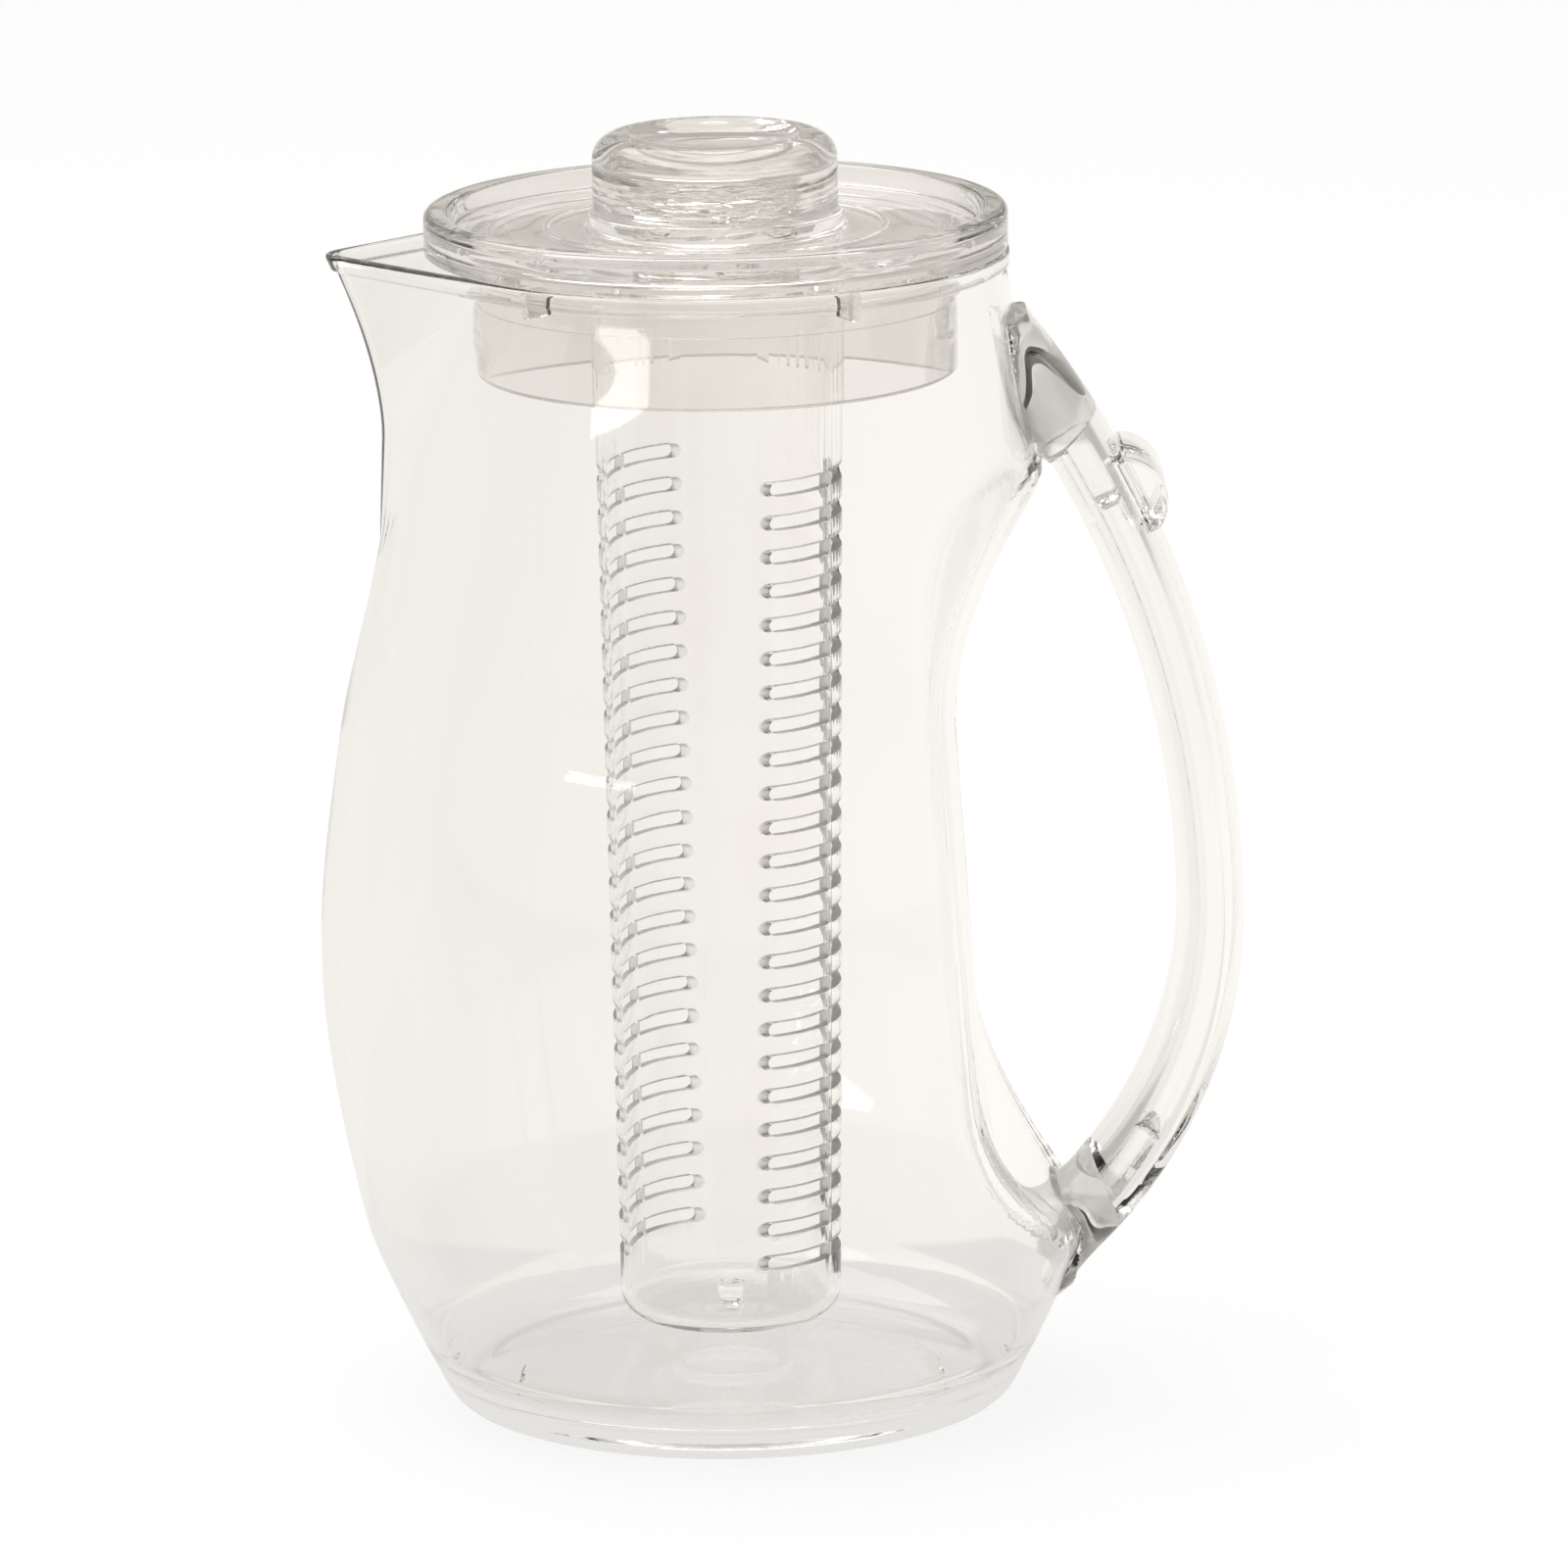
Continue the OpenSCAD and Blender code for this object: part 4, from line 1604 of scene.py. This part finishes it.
@dataclass
class InfuserTube:
    """Slotted tube with a closed bottom and a threaded neck."""

    thread: Thread
    top_r: float = 25.3
    low_r: float = 22.4
    low_z: float = 17.0
    rim_z: float = 236.5
    wall: float = 2.0
    bottom_round: float = 5.0
    shoulder: float = 4.0
    head_z: float = 237.9
    neck_top: float = 252.0
    rows: int = 24
    slot_h: float = 2.7
    slot_low_z: float = 32.0
    slot_pitch: float = 6.93
    rib_half: float = 0.9
    slot_reach: float = 15.4
    slot_deg: float = -27.0
    slot_soft: float = 0.35
    over: float = 1.5
    soft_steps: int = 3
    end_steps: int = 10
    nub_r: float = 3.0
    nub_root_r: float = 2.2
    nub_h: float = 4.0
    nub_round: float = 0.3
    nub_dish: float = 0.4
    mouth_in: float = 0.4
    mouth_round: float = 0.8
    neck_root_round: float = 0.4
    neck_start: float = 1.0
    lip_h: float = 0.6
    lip_slope: float = 0.3
    lip_rounds: Point = (0.4, 0.5)
    corner_steps: int = 8
    thread_step: float = 0.25
    slot_step: float = 2.2
    turn_steps: int = 192

    def side(self, z: float) -> float:
        """Outer radius of the tube at a height."""
        return self.low_r + (self.top_r - self.low_r) * (z - self.low_z) / (self.rim_z - self.low_z)

    def outline(self) -> list[Point]:
        """Outline from the bottom's underside round to its inside.

        Returns:
            Radius and height of each point.
        """
        crest, wall = self.thread.radius, self.wall
        mouth = crest - wall - self.mouth_in
        neck_low, neck_high = self.head_z + self.neck_start, self.neck_top - self.lip_h
        shoulder_r = self.side(self.head_z)
        inner_top, inner_low = self.head_z - wall, self.low_z + wall
        nub_top = inner_low + self.nub_h
        outside = rounded(
            [
                (0.0, self.low_z, 0.0),
                (self.low_r, self.low_z, self.bottom_round),
                (shoulder_r, self.head_z, self.shoulder),
                (crest, self.head_z, self.neck_root_round),
                (crest, neck_low, 0.0),
            ],
            self.corner_steps,
        )
        lip = rounded(
            [
                (crest, neck_high, 0.0),
                (crest - self.lip_slope, self.neck_top, self.lip_rounds[0]),
                (mouth, self.neck_top, self.lip_rounds[1]),
                (mouth, inner_top, self.mouth_round),
                (shoulder_r - wall, inner_top, self.shoulder - wall),
                (self.low_r - wall, inner_low, self.bottom_round - wall),
                (self.nub_root_r, inner_low, self.nub_round),
                (self.nub_r, nub_top, self.nub_round),
                (0.0, nub_top - self.nub_dish, 0.0),
            ],
            self.corner_steps,
        )
        neck = finer([(crest, neck_low), (crest, neck_high)], self.thread_step)
        return outside[:-1] + neck + lip[1:]

    def slot_outline(self, side: float, z: float, grown: float) -> list[Point]:
        """Outline of one D-shaped half slot.

        Args:
            side: -1 for the half left of the rib, 1 for the half right of it.
            z: Height of the slot's middle.
            grown: How far the outline is moved outwards.

        Returns:
            Its points, across and up.
        """
        r = self.slot_h / 2.0
        turn = [math.pi * share for share in steps_between(-0.5, 0.5, self.end_steps)]
        end = [
            (self.slot_reach - r + (r + grown) * math.cos(a), (r + grown) * math.sin(a))
            for a in turn
        ]
        rib = self.rib_half - grown
        closed = [*end, (rib, r + grown), (rib, -r - grown), end[0]]
        half = finer(closed, self.slot_step)[:-1]
        return [(side * across, z + up) for across, up in half]

    def slots(self) -> bpy.types.Object:
        """Builds all the slots' cutters: pairs of D shapes, back to back.

        Returns:
            One object that holds every cutter.
        """
        bm = bmesh.new()
        for row in range(self.rows):
            z = self.slot_low_z + row * self.slot_pitch
            for side in (-1.0, 1.0):
                for turn in (0.0, 180.0):
                    self.cutter(bm, side, z, self.slot_deg + turn)
        bmesh.ops.recalc_face_normals(bm, faces=bm.faces)
        return as_object(bm, "slots")

    def cutter(self, bm: bmesh.types.BMesh, side: float, z: float, angle: float) -> None:
        """Adds one D-shaped cutter that widens at both faces of the wall.

        Args:
            bm: Mesh of the cutters.
            side: Which half of the slot.
            z: Height of the slot's middle.
            angle: Direction that it points in, in degrees.
        """
        soft = self.slot_soft
        bend = steps_between(0.0, math.pi / 2.0, self.soft_steps)
        edge = [(soft * (math.sin(a) - 1.0), soft * (1.0 - math.cos(a))) for a in bend]
        edge.append((self.over, soft))
        levels = [(-self.wall - rise, grown) for rise, grown in reversed(edge)] + edge
        rings = []
        for rise, grown in levels:
            r = self.side(z) + rise
            rings.append(
                [
                    bm.verts.new((math.sqrt(r * r - across * across), across, up))
                    for across, up in self.slot_outline(side, z, grown)
                ]
            )
        loops = [[bm.edges.new(pair) for pair in zip(ring, ring[1:] + ring[:1])] for ring in rings]
        for low, high in zip(loops, loops[1:]):
            bmesh.ops.bridge_loops(bm, edges=low + high)
        for loop in (loops[0], loops[-1]):
            bmesh.ops.contextual_create(bm, geom=loop)
        rotate(bm, [v for ring in rings for v in ring], math.radians(angle))

    def build(self) -> bpy.types.Object:
        """Makes the piece.

        Returns:
            The dressed infuser.
        """
        bm = turned(self.outline(), self.turn_steps)
        span = (self.thread.low_z, self.thread.high_z)
        self.thread.carve(bm, self.thread.radius, span, (0.0, 0.0), 0.0)
        bmesh.ops.recalc_face_normals(bm, faces=bm.faces)
        made = as_object(bm, "clear_infuser")
        combined(made, [(self.slots(), Join.CUT)])
        return finished(made, Finish.TUBE)


# Studio


@dataclass(frozen=True)
class Panel:
    """One soft lamp: where it hangs, what it faces, its size and its power."""

    name: str
    place: Place
    aim: Place
    size: Point
    watts: float

    def hang(self) -> bpy.types.Object:
        """Makes the lamp.

        Returns:
            The lamp.
        """
        data = bpy.data.lights.new(self.name, "AREA")
        data.shape = "RECTANGLE"
        data.size, data.size_y = self.size
        data.energy = self.watts
        lamp = linked(self.name, data)
        lamp.location = self.place
        lamp.rotation_mode = "QUATERNION"
        ahead = Vector(self.aim) - Vector(self.place)
        lamp.rotation_quaternion = ahead.to_track_quat("-Z", "Y")
        return lamp


@dataclass
class Studio:
    """Pale floor, soft lamps, world and the photograph's camera."""

    floor_size: float = 14.0
    table_back: float = 0.11
    table_soft: float = 0.004
    backdrop_half: float = 0.12
    near_range: Point = (0.30, 0.75)
    own_light: float = 0.88
    room_range: Point = (-0.8, 0.4)
    horizon_tilt: float = 0.12
    horizon_range: Point = (0.13, 0.25)
    white: Colour = (1.0, 1.0, 1.0)
    backdrop_left: Colour = (0.872, 0.850, 0.812)
    backdrop_right: Colour = (0.985, 0.955, 0.920)
    table: Colour = (0.815, 0.803, 0.782)
    near_floor: Colour = (0.70, 0.69, 0.67)
    horizon: Colour = (0.88, 0.86, 0.82)
    room_front: Colour = (0.26, 0.25, 0.235)
    room_back: Colour = (0.52, 0.50, 0.465)
    camera_distance: float = 2.361
    camera_elevation: float = 12.69
    camera_roll: float = -0.843
    target: Place = (0.0, 0.0, 0.130)
    focal_pixels: float = 11918.0
    target_pixel: Point = (738.29, 782.63)
    clip: Point = (0.05, 50.0)
    clear_bounces: int = 40
    glossy_bounces: int = 20
    panels: Sequence[Panel] = (
        Panel("top_softbox", (-0.35, 0.05, 1.9), (0.0, 0.0, 0.1), (2.8, 2.2), 44.0),
        Panel("low_window", (-2.432, -3.198, 0.716), (-0.021, -0.056, 0.219), (1.55, 0.08), 1.3),
    )

    def floor(self) -> bpy.types.Object:
        """Makes the floor, which keeps the object's soft shadow.

        Returns:
            The floor.
        """
        bm = bmesh.new()
        bmesh.ops.create_grid(bm, x_segments=1, y_segments=1, size=self.floor_size / 2.0)
        made = as_object(bm, "pale_floor", 1.0)
        material = bpy.data.materials.new("pale_floor")
        shop = emptied(material)
        camera, glossy, clear = (
            shop.node("ShaderNodeLightPath", output=f"Is {ray} Ray")
            for ray in ("Camera", "Glossy", "Transmission")
        )
        seen = camera.most(glossy).most(clear)
        across, far = shop.axes(shop.node("ShaderNodeTexCoord", output="Object"))[:2]
        edge, soft, half = self.table_back, self.table_soft, self.backdrop_half
        behind = far.between(edge - soft, edge + soft)
        backdrop = shop.colours(
            across.between(-half, half), self.backdrop_left, self.backdrop_right
        )
        through = shop.colours(behind, self.table, backdrop)
        front = (0.0 - far).between(*self.near_range) * glossy
        through = shop.colours(front, through, self.near_floor)
        colour = shop.colours(camera, through, self.white)
        lit = shop.node("ShaderNodeBsdfDiffuse", inputs={"Color": colour})
        own = shop.node("ShaderNodeEmission", inputs={"Color": colour, "Strength": 1.0})
        shop.finish("ShaderNodeOutputMaterial", shop.blend(seen * self.own_light, lit, own))
        made.data.materials.append(material)
        return made

    def world(self) -> None:
        """Makes a pale room, greyer behind the camera, white to the camera."""
        world = bpy.data.worlds.new("pale_room")
        bpy.context.scene.world = world
        shop = emptied(world)
        ahead, above = shop.axes(shop.node("ShaderNodeTexCoord", output="Generated"))[1:]
        seen = shop.node("ShaderNodeLightPath", output="Is Camera Ray")
        upper = shop.colours(ahead.between(*self.room_range), self.room_front, self.room_back)
        height = above + ahead * self.horizon_tilt
        room = shop.colours(height.between(*self.horizon_range), self.horizon, upper)
        colour = shop.colours(seen, room, self.white)
        sky = shop.node("ShaderNodeBackground", inputs={"Color": colour, "Strength": 1.0})
        shop.finish("ShaderNodeOutputWorld", sky)

    def camera(self) -> bpy.types.Object:
        """Places the camera as the photograph's.

        Returns:
            The camera.
        """
        e, roll = math.radians(self.camera_elevation), math.radians(self.camera_roll)
        back = Vector((0.0, -math.cos(e), math.sin(e)))
        right = Vector((1.0, 0.0, 0.0))
        up = back.cross(right)
        c, s = math.cos(roll), math.sin(roll)
        right, up = right * c + up * s, up * c - right * s
        data = bpy.data.cameras.new("photo_camera")
        data.sensor_width = SENSOR_MM
        data.lens = self.focal_pixels / PHOTO_PIXELS * data.sensor_width
        data.shift_x = (PHOTO_PIXELS / 2.0 - self.target_pixel[0]) / PHOTO_PIXELS
        data.shift_y = (self.target_pixel[1] - PHOTO_PIXELS / 2.0) / PHOTO_PIXELS
        data.clip_start, data.clip_end = self.clip
        made = linked("photo_camera", data)
        matrix = Matrix((right, up, back)).transposed().to_4x4()
        matrix.translation = Vector(self.target) + back * self.camera_distance
        made.matrix_world = matrix
        bpy.context.scene.camera = made
        return made

    def settings(self) -> None:
        """Sets the view transform and the light bounces that clear plastic needs."""
        scene = bpy.context.scene
        scene.view_settings.view_transform = "Standard"
        scene.cycles.max_bounces = self.clear_bounces
        scene.cycles.transmission_bounces = self.clear_bounces
        scene.cycles.glossy_bounces = self.glossy_bounces


# Scene


def main() -> None:
    """Builds every piece in order and says what each stands for."""
    logging.basicConfig(level=logging.INFO, format="%(message)s")
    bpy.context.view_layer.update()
    sweep, thread = HandleSweep(), Thread()
    parts = (
        (PitcherBody(sweep), "pitcher", "pitcher_body", Finish.BODY),
        (Handle(sweep), "pitcher", "handle", Finish.HANDLE),
        (Lid(), "lid", "lid", Finish.LID),
        (Knob(thread), "knob", "knob", Finish.KNOB),
        (InfuserTube(thread), "infuser", "infuser_tube", Finish.TUBE),
    )
    for part, body, node, finish in parts:
        piece = part.build()
        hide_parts(node)
        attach(piece, body)
        LOG.info("%s stands for %s and rides on %s", piece.name, node, body)
    studio = Studio()
    studio.floor()
    studio.world()
    for panel in studio.panels:
        panel.hang()
    studio.camera()
    studio.settings()


if __name__ == "__main__":
    main()
